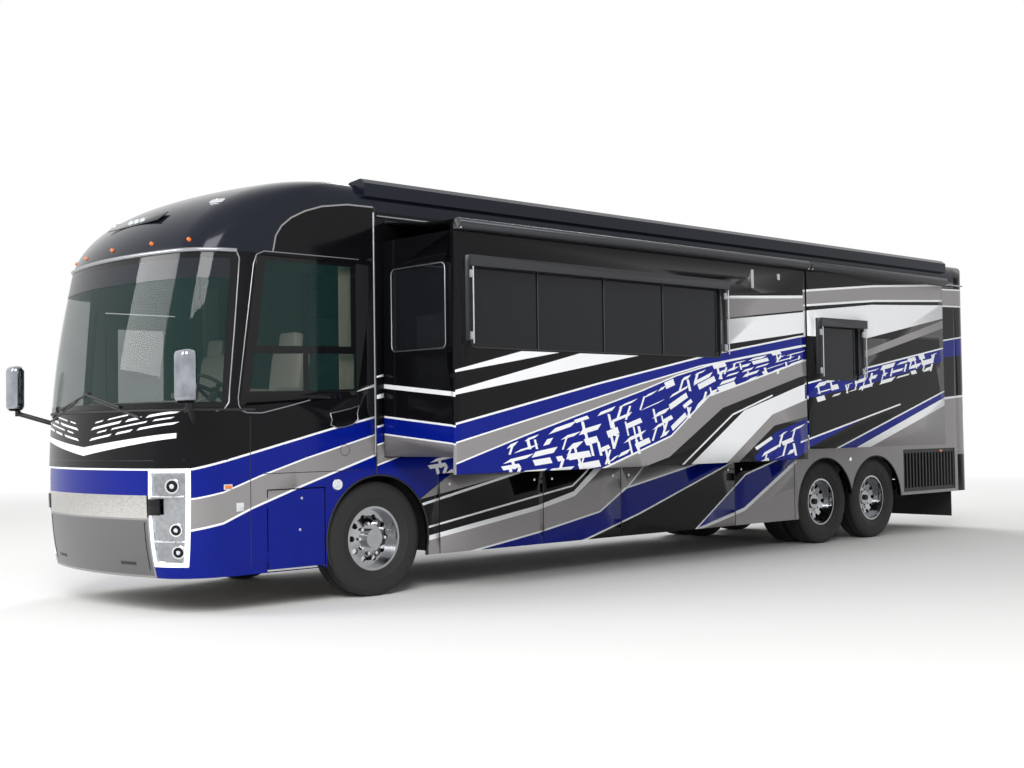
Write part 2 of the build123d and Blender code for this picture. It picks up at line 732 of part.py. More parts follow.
# Chassis frame: two rails, crossmembers and the hitch receiver
rail_x = 430.0
rail_width = 80.0
rail_height = 240.0
rail_top = floor_bottom - seat_gap
rail_front = front_axle_y - 1745.0
rail_rear = tail_y - 400.0
rail_sheet = 20.0
cross_height = 120.0
cross_depth = 80.0
rear_cross = rail_rear - front_axle_y
tag_cross = tag_axle_y - front_axle_y - 600.0
cross_stations = (-1650.0, 900.0, 2400.0, 4270.0, 6300.0, tag_cross, rear_cross - 190.0)
receiver_size = 76.0
receiver_hole = 51.0
receiver_z = rear_skirt_bottom - 60.0
receiver_length = 600.0
receiver_setback = 20.0
tow_bar = 110.0
drop_plate = 220.0
hitch_pin_radius = 8.0
hitch_pin_setback = 70.0
with BuildPart() as chassis_frame:
    for side in (1, -1):
        with BuildSketch(Plane.XZ.offset(-rail_front)):
            with Locations((side * rail_x, rail_top - rail_height / 2)):
                Rectangle(rail_width, rail_height)
            with Locations((side * (rail_x - rail_width / 4), rail_top - rail_height / 2)):
                Rectangle(rail_width / 2, rail_height - 2 * rail_sheet, mode=Mode.SUBTRACT)
        extrude(amount=-(rail_rear - rail_front))
    for station in cross_stations:
        with BuildSketch(Plane.XZ.offset(-(front_axle_y + station))):
            with Locations((0, rail_top - rail_height / 2)):
                Rectangle(2 * rail_x, cross_height)
        extrude(amount=-cross_depth)
    # drop plates and tow bar at the tail
    plate_top = rail_top - rail_height + 2 * rail_sheet
    plate_bottom = receiver_z - tow_bar / 2 - rail_sheet / 4
    for side in (1, -1):
        with BuildSketch(Plane.YZ.offset(side * rail_x - rail_width / 4)):
            with Locations((rail_rear - drop_plate / 2, (plate_top + plate_bottom) / 2)):
                Rectangle(drop_plate, plate_top - plate_bottom)
        extrude(amount=rail_width / 2)
    with BuildSketch(Plane.YZ.offset(-rail_x)):
        with Locations((rail_rear - tow_bar, receiver_z)):
            Rectangle(tow_bar, tow_bar)
    extrude(amount=2 * rail_x)
    receiver_end = tail_y - receiver_setback
    with BuildSketch(Plane.XZ.offset(-receiver_end)):
        with Locations((0, receiver_z)):
            Rectangle(receiver_size, receiver_size)
    extrude(amount=receiver_length)
    with BuildSketch(Plane.XZ.offset(-receiver_end)):
        with Locations((0, receiver_z)):
            Rectangle(receiver_hole, receiver_hole)
    extrude(amount=receiver_length, mode=Mode.SUBTRACT)
    with BuildSketch(Plane.YZ.offset(-receiver_size)):
        with Locations((receiver_end - hitch_pin_setback, receiver_z)):
            Circle(hitch_pin_radius)
    extrude(amount=2 * receiver_size, mode=Mode.SUBTRACT)
save(chassis_frame, "chassis_frame")

# Basement: bay floor and the bulkheads between the bays, slotted over the rails
bay_floor = skirt_bottom + 20.0
sheet = 24.0
bulkhead_half = inner_half - 8.0
bay_overhang = 30.0
bay_hinges = (bay_floor + 72.0, bay_top - 225.0)
with BuildPart() as basement:
    first = front_axle_y + bay_seams[0] - bay_overhang
    last = front_axle_y + bay_seams[-1] + bay_overhang
    add(box_between((-bulkhead_half, first, bay_floor), (bulkhead_half, last, bay_floor + sheet)))
    for seam in bay_seams:
        middle = front_axle_y + seam
        add(
            box_between(
                (-bulkhead_half, middle - sheet / 2, bay_floor),
                (bulkhead_half, middle + sheet / 2, floor_bottom - seat_gap),
            )
        )
    rail_low = rail_top - rail_height - seat_gap
    for side in (1, -1):
        low_x = side * rail_x - rail_width / 2 - seat_gap
        slot_x = low_x + rail_width + 2 * seat_gap
        add(
            box_between((low_x, first - sheet, rail_low), (slot_x, last + sheet, floor_top)),
            mode=Mode.SUBTRACT,
        )
    for station in cross_stations:
        middle = front_axle_y + station
        cross_low = rail_top - (rail_height + cross_height) / 2 - seat_gap
        cross_end = middle + cross_depth + seat_gap
        add(
            box_between((-rail_x, middle - seat_gap, cross_low), (rail_x, cross_end, floor_top)),
            mode=Mode.SUBTRACT,
        )
    for seam in bay_seams[:-1]:
        for side in (1, -1):
            for hinge_z in bay_hinges:
                middle = front_axle_y + seam
                add(upright_hinge(side, middle, hinge_z, hinge_z + hinge_length, bulkhead_half - hinge_web))
save(basement, "basement")


def tube_between(start, end, radius):
    """Round bar from one point to another."""
    way = Vector(*end) - Vector(*start)
    with BuildPart() as block:
        with BuildSketch(Plane(origin=start, z_dir=way)):
            Circle(radius)
        extrude(amount=way.length)
    return block.part


# Steering axle: dropped beam, kingpins and the air springs under the rails
kingpin_x = wheel_plane_x - 190.0
kingpin_radius = 24.0
kingpin_half = 108.0
eye_radius = 46.0
eye_half = 58.0
beam_depth = 92.0
beam_drop = 150.0
beam_half_height = 45.0
spring_radius = 98.0
spring_x = 450.0
beam_rise = 90.0
rail_bottom = rail_top - rail_height - seat_gap
with BuildPart() as front_axle:
    bend_x = spring_x + spring_radius + rail_sheet
    low_z = axle_z - beam_drop
    with BuildSketch(Plane.XZ.offset(-(front_axle_y - beam_depth / 2))):
        with BuildLine():
            Polyline(
                (-kingpin_x, axle_z - beam_half_height),
                (-bend_x - beam_rise, axle_z - beam_half_height),
                (-bend_x, low_z - beam_half_height),
                (bend_x, low_z - beam_half_height),
                (bend_x + beam_rise, axle_z - beam_half_height),
                (kingpin_x, axle_z - beam_half_height),
                (kingpin_x, axle_z + beam_half_height),
                (bend_x + beam_rise - rail_sheet, axle_z + beam_half_height),
                (bend_x - rail_sheet, low_z + beam_half_height),
                (-bend_x + rail_sheet, low_z + beam_half_height),
                (-bend_x - beam_rise + rail_sheet, axle_z + beam_half_height),
                (-kingpin_x, axle_z + beam_half_height),
                close=True,
            )
        make_face()
    extrude(amount=-beam_depth)
    for side in (1, -1):
        with BuildSketch(Plane.XY.offset(axle_z - eye_half)):
            with Locations((side * kingpin_x, front_axle_y)):
                Circle(eye_radius)
        extrude(amount=2 * eye_half)
        with BuildSketch(Plane.XY.offset(axle_z - kingpin_half)):
            with Locations((side * kingpin_x, front_axle_y)):
                Circle(kingpin_radius)
        extrude(amount=2 * kingpin_half)
        with BuildSketch(Plane.XY.offset(low_z)):
            with Locations((side * spring_x, front_axle_y)):
                Circle(spring_radius)
        extrude(amount=rail_bottom - low_z)
save(front_axle, "front_axle")

# Knuckles: a yoke round the axle eye, with the wheel spindle and a steering arm
spindle_radius = 35.0
spindle_end = wheel_plane_x + 40.0
ear_gap = 4.0
ear_thickness = 40.0
ear_radius = 52.0
web_x = kingpin_x + 56.0
web_thickness = 34.0
arm_length = 190.0
arm_inner = 20.0
arm_outer = 25.0
for side, side_name in ((1, "left"), (-1, "right")):
    with BuildPart() as knuckle:
        for ear_z in (axle_z + eye_half + ear_gap, axle_z - eye_half - ear_gap - ear_thickness):
            with BuildSketch(Plane.XY.offset(ear_z)):
                with Locations((side * kingpin_x, front_axle_y)):
                    Circle(ear_radius)
                with Locations((side * (kingpin_x + web_x + web_thickness) / 2, front_axle_y)):
                    Rectangle(web_x + web_thickness - kingpin_x, 2 * ear_radius)
            extrude(amount=ear_thickness)
        web_half = eye_half + ear_gap + ear_thickness
        low_x = min(side * web_x, side * (web_x + web_thickness))
        add(
            box_between(
                (low_x, front_axle_y - ear_radius, axle_z - web_half),
                (low_x + web_thickness, front_axle_y + ear_radius, axle_z + web_half),
            )
        )
        with BuildSketch(Plane.YZ.offset(side * web_x)):
            with Locations((front_axle_y, axle_z)):
                Circle(spindle_radius)
        extrude(amount=side * (spindle_end - web_x))
        with BuildSketch(Plane.XY.offset(axle_z - web_half)):
            with BuildLine():
                Polyline(
                    (side * (web_x + web_thickness), front_axle_y + ear_radius),
                    (side * web_x, front_axle_y + ear_radius),
                    (side * (kingpin_x - arm_inner), front_axle_y + arm_length),
                    (side * (kingpin_x + arm_outer), front_axle_y + arm_length),
                    close=True,
                )
            make_face()
        extrude(amount=ear_thickness)
        with BuildSketch(Plane.XY.offset(axle_z - 2 * kingpin_half)):
            with Locations((side * kingpin_x, front_axle_y)):
                Circle(kingpin_radius + pin_clearance)
        extrude(amount=4 * kingpin_half, mode=Mode.SUBTRACT)
    save(knuckle, f"knuckle_{side_name}")

# Drive axle with its differential bowl, and the tag axle: spindles at both ends
axle_tube_radius = 72.0
bowl_radius = 205.0
tube_gap = 60.0
tube_end = wheel_plane_x - dual_spacing - rim_width / 2 - tube_gap
tag_tube_end = wheel_plane_x - 190.0
for name, wheel_y, bowl, tube_half in (
    ("drive_axle", drive_axle_y, bowl_radius, tube_end),
    ("tag_axle", tag_axle_y, 0.0, tag_tube_end),
):
    with BuildPart() as axle:
        with BuildSketch(Plane.YZ.offset(-tube_half)):
            with Locations((wheel_y, axle_z)):
                Circle(axle_tube_radius)
        extrude(amount=2 * tube_half)
        with BuildSketch(Plane.YZ.offset(-spindle_end)):
            with Locations((wheel_y, axle_z)):
                Circle(spindle_radius)
        extrude(amount=2 * spindle_end)
        if bowl:
            with BuildSketch(Plane.YZ.offset(-bowl / 2)):
                with Locations((wheel_y, axle_z)):
                    Circle(bowl)
            extrude(amount=bowl)
            chamfer(axle.edges().filter_by(GeomType.CIRCLE).sort_by(SortBy.RADIUS)[-2:], bowl / 4)
        for side in (1, -1):
            with BuildSketch(Plane.XY.offset(axle_z)):
                with Locations((side * spring_x, wheel_y)):
                    Circle(spring_radius)
            extrude(amount=rail_bottom - axle_z)
    save(axle, name)

# Wheels: name, side, axle position, outward reach of the disc, twin wheel
disc_outward = 62.0
disc_inward = -48.0
bead = 16.0
bead_gap = 4.0
shoulder_inset = 14.0
shoulder_fall = 22.0
sidewall_fall = 10.0
disc_dish = 34.0
disc_reach = 75.0
disc_bevel = 5.0
wheels = (
    ("front_left", 1, front_axle_y, disc_outward, False),
    ("front_right", -1, front_axle_y, disc_outward, False),
    ("drive_left", 1, drive_axle_y, disc_inward, True),
    ("drive_right", -1, drive_axle_y, disc_inward, True),
    ("tag_left", 1, tag_axle_y, disc_inward, False),
    ("tag_right", -1, tag_axle_y, disc_inward, False),
)
hub_cap_radius = 88.0
hub_cap_reach = 62.0
hub_half = 78.0


def section_plane(x_value, wheel_y):
    """Plane of a wheel's section: sideways is along the axle, up is along the radius."""
    return Plane(origin=(x_value, wheel_y, axle_z), x_dir=(1, 0, 0), z_dir=(0, -1, 0))


for name, side, wheel_y, disc_place, twin in wheels:
    planes_x = [side * wheel_plane_x]
    if twin:
        planes_x.append(side * (wheel_plane_x - dual_spacing))
    spin_axis = Axis((0, wheel_y, axle_z), (1, 0, 0))
    bead_x = rim_width / 2 - bead
    shoulder_x = tyre_width / 2 - shoulder_inset
    shoulder_radius = tyre_radius - shoulder_fall
    widest = (rim_flange + tyre_radius) / 2 - sidewall_fall
    with BuildPart() as tyre:
        for centre_x in planes_x:
            with BuildSketch(section_plane(centre_x, wheel_y)):
                with BuildLine():
                    seat_line = Line((-bead_x, rim_radius + seat_gap), (bead_x, rim_radius + seat_gap))
                    near = Line(seat_line @ 1, (bead_x, rim_flange + bead_gap))
                    wall_arc = ThreePointArc(near @ 1, (tyre_width / 2, widest), (shoulder_x, shoulder_radius))
                    crown_arc = ThreePointArc(wall_arc @ 1, (0, tyre_radius), (-shoulder_x, shoulder_radius))
                    far_arc = ThreePointArc(
                        crown_arc @ 1, (-tyre_width / 2, widest), (-bead_x, rim_flange + bead_gap)
                    )
                    Line(far_arc @ 1, seat_line @ 0)
                make_face()
            revolve(axis=spin_axis)
    save(tyre, f"tyre_{name}")
    with BuildPart() as rim:
        for centre_x in planes_x:
            with BuildSketch(section_plane(centre_x, wheel_y)):
                with BuildLine():
                    Polyline(
                        (-rim_width / 2, rim_flange),
                        (-rim_width / 2, rim_radius - rim_wall),
                        (rim_width / 2, rim_radius - rim_wall),
                        (rim_width / 2, rim_flange),
                        (rim_width / 2 - bead + seat_gap, rim_flange),
                        (rim_width / 2 - bead + seat_gap, rim_radius),
                        (-rim_width / 2 + bead - seat_gap, rim_radius),
                        (-rim_width / 2 + bead - seat_gap, rim_flange),
                        close=True,
                    )
                make_face()
            revolve(axis=spin_axis)
        # dished disc from the barrel to the hub face
        outward = side * (1 if disc_place > 0 else -1)
        disc_x = side * (wheel_plane_x + disc_place)
        with BuildSketch(section_plane(disc_x, wheel_y)):
            with BuildLine():
                Polyline(
                    (0, spindle_radius + pin_clearance),
                    (0, hub_radius),
                    (-outward * disc_dish, hub_radius + disc_reach),
                    (-outward * disc_dish, rim_radius - rim_wall / 2),
                    (-outward * (disc_dish + disc_thickness), rim_radius - rim_wall / 2),
                    (-outward * (disc_dish + disc_thickness), hub_radius + disc_reach - disc_bevel),
                    (-outward * disc_thickness, hub_radius - disc_bevel),
                    (-outward * disc_thickness, spindle_radius + pin_clearance),
                    close=True,
                )
            make_face()
        revolve(axis=spin_axis)
        if twin:
            twin_x = side * (wheel_plane_x - dual_spacing)
            with BuildSketch(Plane.YZ.offset(disc_x)):
                with Locations((wheel_y, axle_z)):
                    Circle(hub_radius - bead)
            extrude(amount=twin_x - disc_x)
            with BuildSketch(Plane.YZ.offset(twin_x)):
                with Locations((wheel_y, axle_z)):
                    Circle(rim_radius - rim_wall / 2)
            extrude(amount=side * disc_thickness)
        with BuildSketch(Plane.YZ.offset(disc_x - side * hub_half)):
            with Locations((wheel_y, axle_z)):
                Circle(hub_cap_radius)
        extrude(amount=side * (hub_half + hub_cap_reach))
        with BuildSketch(Plane.YZ.offset(side * tube_end)):
            with Locations((wheel_y, axle_z)):
                Circle(spindle_radius + pin_clearance)
        extrude(amount=side * (spindle_end + ear_gap - tube_end), mode=Mode.SUBTRACT)
        with BuildSketch(Plane.YZ.offset(side * (wheel_plane_x - rim_width))):
            with Locations((wheel_y, axle_z)):
                with PolarLocations(hand_hole_pitch, hand_hole_count):
                    Circle(hand_hole_radius)
        extrude(amount=side * 2 * rim_width, mode=Mode.SUBTRACT)
    save(rim, f"rim_{name}")

# Engine block between the rails at the tail
engine_front = tag_axle_y + spring_radius + 2 * tube_gap
engine_rear = tail_y - 670.0
engine_bottom = rear_skirt_bottom + 120.0
engine_top = floor_bottom - 30.0
engine_half = rail_x - rail_width / 2 - seat_gap
with BuildPart() as engine:
    add(box_between((-engine_half, engine_front, engine_bottom), (engine_half, engine_rear, engine_top)))
save(engine, "engine")

# Dashboard across the cab: its side outline from the front axle and the floor
dash_half = half_width - 225.0
dash_outline = (
    (-1830.0, seat_gap),
    (-1600.0, seat_gap),
    (-1520.0, 305.0),
    (-1420.0, 365.0),
    (-1480.0, 505.0),
    (-1660.0, 565.0),
    (-1920.0, 445.0),
)
with BuildPart() as dashboard:
    with BuildSketch(Plane.YZ.offset(-dash_half)):
        with BuildLine():
            Polyline(*[(front_axle_y + along, floor_top + rise) for along, rise in dash_outline], close=True)
        make_face()
    extrude(amount=2 * dash_half)
save(dashboard, "dashboard")

# Steering wheel on its column
seat_x = half_width - 645.0
wheel_hub = (seat_x, front_axle_y - 1290.0, floor_top + 635.0)
column_foot = (seat_x, front_axle_y - 1457.0, floor_top + 445.0)
column_radius = 34.0
steering_rim_radius = 225.0
steering_grip = 16.0
boss_radius = 60.0
spoke_width = 38.0
spoke_thickness = 24.0
column_way = Vector(*wheel_hub) - Vector(*column_foot)
with BuildPart() as steering_wheel:
    add(tube_between(column_foot, wheel_hub, column_radius))
    hub_plane = Plane(origin=wheel_hub, x_dir=(1, 0, 0), z_dir=column_way)
    with BuildSketch(Plane(origin=wheel_hub, x_dir=(1, 0, 0), z_dir=hub_plane.y_dir)):
        with Locations((steering_rim_radius, 0)):
            Circle(steering_grip)
    revolve(axis=Axis(wheel_hub, column_way))
    with BuildSketch(hub_plane):
        Circle(boss_radius)
        with PolarLocations(0, 3, start_angle=90):
            with Locations((steering_rim_radius / 2, 0)):
                Rectangle(steering_rim_radius, spoke_width)
    extrude(amount=spoke_thickness / 2, both=True)
    add(dashboard.part, mode=Mode.SUBTRACT)
save(steering_wheel, "steering_wheel")

# Cab seats: pedestal, cushion, back and arm rests, one for each side
cushion_z = floor_top + 360.0
cushion_height = 130.0
back_top = floor_top + 1200.0
seat_half = 270.0
seat_front = front_axle_y - 990.0
seat_rear = front_axle_y - 450.0
pedestal = 150.0
back_inset = 20.0
back_depth = 130.0
arm_width = 70.0
arm_height = 60.0
arm_rise = 210.0
with BuildPart() as seats:
    for side in (1, -1):
        x_low = side * seat_x - seat_half
        x_high = side * seat_x + seat_half
        middle_y = (seat_front + seat_rear) / 2
        add(
            box_between(
                (side * seat_x - pedestal, middle_y - pedestal, floor_top + seat_gap),
                (side * seat_x + pedestal, middle_y + pedestal, cushion_z),
            )
        )
        add(box_between((x_low, seat_front, cushion_z), (x_high, seat_rear, cushion_z + cushion_height)))
        add(
            side_view(
                (
                    (seat_rear - back_depth, cushion_z),
                    (seat_rear + back_inset, cushion_z),
                    (seat_rear + back_depth, back_top),
                    (seat_rear + back_inset, back_top),
                ),
                x_low + back_inset,
                2 * (seat_half - back_inset),
            )
        )
        arm_z = cushion_z + arm_rise
        for arm_x in (x_low - arm_width / 2, x_high - arm_width / 2):
            arm_front = (arm_x, seat_front + arm_width, arm_z)
            add(box_between(arm_front, (arm_x + arm_width, seat_rear, arm_z + arm_height)))
save(seats, "seats")

# Mirrors on arms from the nose corners
mirror_x = half_width + 335.0
mirror_y = nose_y + 85.0
mirror_low = belt_height + 40.0
mirror_high = belt_height + 470.0
mirror_width = 210.0
mirror_depth = 130.0
mirror_corner = 45.0
mirror_stem = 26.0
mirror_arm = 22.0
mirror_root = (half_width - 62.0, nose_y + 395.0, belt_height - 120.0)
with BuildPart() as mirrors:
    for side in (1, -1):
        with BuildSketch(Plane.XY.offset(mirror_low)):
            with Locations((side * mirror_x, mirror_y)):
                RectangleRounded(mirror_width, mirror_depth, mirror_corner)
        extrude(amount=mirror_high - mirror_low)
        elbow = (side * mirror_x, mirror_y + mirror_stem, mirror_low - mirror_stem)
        add(tube_between(elbow, (elbow[0], elbow[1], mirror_low + mirror_stem), mirror_stem))
        root = (side * mirror_root[0], mirror_root[1], mirror_root[2])
        add(tube_between(root, elbow, mirror_arm))
        with BuildSketch(Plane.XY.offset(elbow[2] - mirror_stem)):
            with Locations((elbow[0], elbow[1])):
                Circle(mirror_stem)
        extrude(amount=mirror_stem)
    add(outer_lower, mode=Mode.SUBTRACT)
save(mirrors, "mirrors")

def nose_skin(across, height):
    """Where the bowed nose stands at a place across it and a height of the windshield."""
    bow_radius = (half_width**2 + nose_bow**2) / (2 * nose_bow)
    bow = bow_radius - math.sqrt(bow_radius**2 - across**2)
    (low, near), (high, far) = lower_nose[2:4] if height < belt_height else lower_nose[3:5]
    return nose_y + bow + near + (far - near) * (height - low) / (high - low)


# Windshield wipers: arm and blade on each half, lying along the curved glass
wiper_radius = 11.0
wiper_reach = 14.0
wiper_bars = (
    ((820.0, -60.0), (180.0, 95.0)),
    ((560.0, 30.0), (-40.0, 160.0)),
)
with BuildPart() as wipers:
    for side in (1, -1):
        for bar in wiper_bars:
            ends = []
            for across, rise in bar:
                height = belt_height + rise
                ends.append((side * across, nose_skin(across, height) - wiper_reach, height))
            add(tube_between(*ends, wiper_radius))
    add(outer_lower, mode=Mode.SUBTRACT)
save(wipers, "wipers")

# Full-width mud flap hung from a bar under the tail
flap_y = rail_rear + 30.0
flap_top = rear_skirt_bottom + 110.0
flap_bottom = 165.0
flap_half = half_width - 135.0
flap_thickness = 12.0
hanger_half = 40.0
notch = receiver_size / 2 + door_gap
with BuildPart() as mud_flap:
    flap_rear = flap_y + flap_thickness
    add(box_between((-flap_half, flap_y, flap_bottom), (flap_half, flap_rear, flap_top)))
    for side in (1, -1):
        hanger = side * rail_x
        hanger_low = (hanger - hanger_half, rail_rear + seat_gap, flap_top - 2 * hanger_half)
        add(box_between(hanger_low, (hanger + hanger_half, flap_y, flap_top)))
    add(
        box_between((-notch, flap_y, receiver_z - notch), (notch, flap_rear, receiver_z + notch)),
        mode=Mode.SUBTRACT,
    )
save(mud_flap, "mud_flap")
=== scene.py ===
import json
import math
import random

import bmesh
import bpy
from mathutils import Matrix, Vector
from mathutils.bvhtree import BVHTree

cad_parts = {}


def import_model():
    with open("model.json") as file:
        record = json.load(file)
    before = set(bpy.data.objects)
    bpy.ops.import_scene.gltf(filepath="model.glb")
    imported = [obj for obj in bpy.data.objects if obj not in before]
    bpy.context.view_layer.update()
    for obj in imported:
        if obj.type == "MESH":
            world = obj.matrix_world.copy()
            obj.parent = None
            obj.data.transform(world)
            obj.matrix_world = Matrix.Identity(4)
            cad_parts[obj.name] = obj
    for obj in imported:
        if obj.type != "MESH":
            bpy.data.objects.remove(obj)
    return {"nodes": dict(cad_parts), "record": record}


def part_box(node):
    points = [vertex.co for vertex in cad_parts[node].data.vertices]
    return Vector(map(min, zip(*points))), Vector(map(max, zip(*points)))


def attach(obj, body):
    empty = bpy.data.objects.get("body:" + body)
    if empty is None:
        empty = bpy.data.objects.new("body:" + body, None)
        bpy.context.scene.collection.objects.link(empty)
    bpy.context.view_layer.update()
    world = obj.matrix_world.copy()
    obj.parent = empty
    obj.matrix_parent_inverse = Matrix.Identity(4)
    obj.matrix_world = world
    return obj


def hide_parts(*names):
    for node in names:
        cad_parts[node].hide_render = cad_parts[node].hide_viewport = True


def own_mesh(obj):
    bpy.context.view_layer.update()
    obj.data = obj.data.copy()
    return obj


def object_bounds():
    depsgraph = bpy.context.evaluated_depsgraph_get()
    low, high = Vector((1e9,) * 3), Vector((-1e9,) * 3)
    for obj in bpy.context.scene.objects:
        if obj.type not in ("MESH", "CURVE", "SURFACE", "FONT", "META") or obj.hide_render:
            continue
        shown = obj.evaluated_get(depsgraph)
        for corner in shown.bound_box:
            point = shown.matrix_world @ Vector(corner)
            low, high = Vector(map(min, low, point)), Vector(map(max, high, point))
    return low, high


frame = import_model()
cad_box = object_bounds()
nodes = frame["nodes"]
bodies = frame["record"]["behaviour"]["bodies"]
body_of = {node: body for body, carried in bodies.items() for node in carried}

# Studio: a pale seamless floor and a white surround.
# The camera stands off the front corner of the driver's side, low, as a person would.
camera_place = Vector((11.161, -11.798, 1.513))
camera_yaw = math.radians(47.02)
camera_pitch = math.radians(1.863)
camera_roll = math.radians(-0.816)
way = Vector(
    (
        -math.sin(camera_yaw) * math.cos(camera_pitch),
        math.cos(camera_yaw) * math.cos(camera_pitch),
        math.sin(camera_pitch),
    )
)
level = Vector((math.cos(camera_yaw), math.sin(camera_yaw), 0.0))
upward = level.cross(way)
right = math.cos(camera_roll) * level + math.sin(camera_roll) * upward
upward = math.cos(camera_roll) * upward - math.sin(camera_roll) * level
camera = bpy.data.objects.new("camera", bpy.data.cameras.new("camera"))
camera.data.lens = 47.65
camera.data.sensor_width = 36.0
camera.data.clip_end = 200.0
camera.matrix_world = Matrix.Translation(camera_place) @ Matrix((right, upward, -way)).transposed().to_4x4()
bpy.context.scene.collection.objects.link(camera)
bpy.context.scene.camera = camera
bpy.context.scene.view_settings.view_transform = "Standard"

for name, place, target, size, power in (
    ("key_light", (13.0, -16.0, 12.0), (0.0, -1.0, 1.5), 9.0, 3300.0),
    ("front_light", (-7.0, -17.0, 8.0), (0.0, -5.0, 1.5), 7.0, 1100.0),
    ("back_light", (-12.0, 12.0, 11.0), (0.0, 1.0, 1.5), 9.0, 1600.0),
):
    light = bpy.data.objects.new(name, bpy.data.lights.new(name, "AREA"))
    light.data.size = size
    light.data.energy = power
    aim = Vector(target) - Vector(place)
    light.matrix_world = Matrix.Translation(place) @ aim.to_track_quat("-Z", "Y").to_matrix().to_4x4()
    bpy.context.scene.collection.objects.link(light)


class Wire:
    """A node's output that adds Math nodes when it is used in an expression."""

    def __init__(self, finish, socket):
        self.finish = finish
        self.socket = socket

    def maths(self, operation, first, second):
        node = self.finish.node("ShaderNodeMath", {"operation": operation}, (first, second))
        return Wire(self.finish, node.outputs[0])

    def __add__(self, other):
        return self.maths("ADD", self, other)

    def __radd__(self, other):
        return self.maths("ADD", other, self)

    def __sub__(self, other):
        return self.maths("SUBTRACT", self, other)

    def __rsub__(self, other):
        return self.maths("SUBTRACT", other, self)

    def __mul__(self, other):
        return self.maths("MULTIPLY", self, other)

    def __rmul__(self, other):
        return self.maths("MULTIPLY", other, self)


class Finish:
    """A material on the principled shader, built node by node."""

    def __init__(self, name):
        self.material = bpy.data.materials.new(name)
        self.material.use_nodes = True
        self.tree = self.material.node_tree
        self.shader = self.tree.nodes["Principled BSDF"]

    def node(self, kind, settings, values):
        made = self.tree.nodes.new(kind)
        for setting, value in settings.items():
            setattr(made, setting, value)
        named = values.items() if isinstance(values, dict) else enumerate(values)
        for socket, value in named:
            self.join(made.inputs[socket], value)
        return made

    def join(self, socket, value):
        if isinstance(value, Wire):
            self.tree.links.new(value.socket, socket)
        else:
            socket.default_value = value

    def wire(self, kind, settings, values, output=0):
        return Wire(self, self.node(kind, settings, values).outputs[output])

    def place(self):
        return self.wire("ShaderNodeTexCoord", {}, {}, "Object")

    def noise(self, scale, detail=3.0):
        values = {"Vector": self.place(), "Scale": scale, "Detail": detail}
        return self.wire("ShaderNodeTexNoise", {}, values)

    def seen_ray(self):
        """1 where the camera looks, straight or through gloss or glass."""
        ray = self.node("ShaderNodeLightPath", {}, {})
        camera_ray, glossy, through = (
            Wire(self, ray.outputs[f"Is {kind} Ray"]) for kind in ("Camera", "Glossy", "Transmission")
        )
        return camera_ray.maths("MAXIMUM", camera_ray.maths("MAXIMUM", camera_ray, glossy), through)

    def blend(self, mask, first, second):
        mixed = self.node("ShaderNodeMix", {"data_type": "RGBA"}, {0: mask, 6: first, 7: second})
        return Wire(self, mixed.outputs[2])

    def set(self, **values):
        for name, value in values.items():
            self.join(self.shader.inputs[name.replace("_", " ")], value)

    def raise_by(self, height, distance):
        self.set(Normal=self.wire("ShaderNodeBump", {}, {"Height": height, "Distance": distance}))


def surface(name, color, rough, metal=0.0, coat=0.0, tone=0.1, grain=3.0, relief=0.0, relief_scale=300.0):
    """Finish whose tone and sheen drift gently, with a fine relief where one is asked for."""
    made = Finish(name)
    drift = made.noise(grain, 5.0)
    dark = tuple(channel * (1.0 - tone) for channel in color) + (1.0,)
    light = tuple(min(channel * (1.0 + tone), 1.0) for channel in color) + (1.0,)
    made.set(Base_Color=made.blend(drift, dark, light))
    made.set(Roughness=drift * (0.4 * rough) + 0.8 * rough)
    made.set(Metallic=metal, Coat_Weight=coat, Coat_Roughness=0.02)
    if relief:
        made.raise_by(made.noise(relief_scale, 2.0), relief)
    return made


floor_finish = Finish("studio_floor")
floor_finish.set(Base_Color=(0.80, 0.80, 0.79, 1.0), Roughness=0.9)
reach = floor_finish.wire("ShaderNodeVectorMath", {"operation": "LENGTH"}, {0: floor_finish.place()}, "Value")
far_off = floor_finish.wire(
    "ShaderNodeMapRange", {"interpolation_type": "SMOOTHSTEP"}, {"Value": reach, "From Min": 9.0, "From Max": 26.0}
)
white_out = floor_finish.wire("ShaderNodeEmission", {}, {"Color": (1.0, 1.0, 1.0, 1.0), "Strength": 1.0})
floor_mix = floor_finish.wire(
    "ShaderNodeMixShader",
    {},
    {0: far_off * floor_finish.seen_ray(), 1: Wire(floor_finish, floor_finish.shader.outputs[0]), 2: white_out},
)
floor_finish.join(floor_finish.tree.nodes["Material Output"].inputs["Surface"], floor_mix)
floor_mesh = bmesh.new()
bmesh.ops.create_grid(floor_mesh, x_segments=1, y_segments=1, size=90.0)
floor_data = bpy.data.meshes.new("studio_floor")
floor_mesh.to_mesh(floor_data)
floor_mesh.free()
floor_data.materials.append(floor_finish.material)
floor = bpy.data.objects.new("studio_floor", floor_data)
bpy.context.scene.collection.objects.link(floor)

world = bpy.data.worlds.new("studio")
world.use_nodes = True
bpy.context.scene.world = world
surround = Finish.__new__(Finish)
surround.tree = world.node_tree
back = surround.tree.nodes["Background"]
back.inputs["Color"].default_value = (1.0, 1.0, 1.0, 1.0)
fill_strength = 0.55
surround.join(back.inputs["Strength"], surround.seen_ray() * (1.0 - fill_strength) + fill_strength)

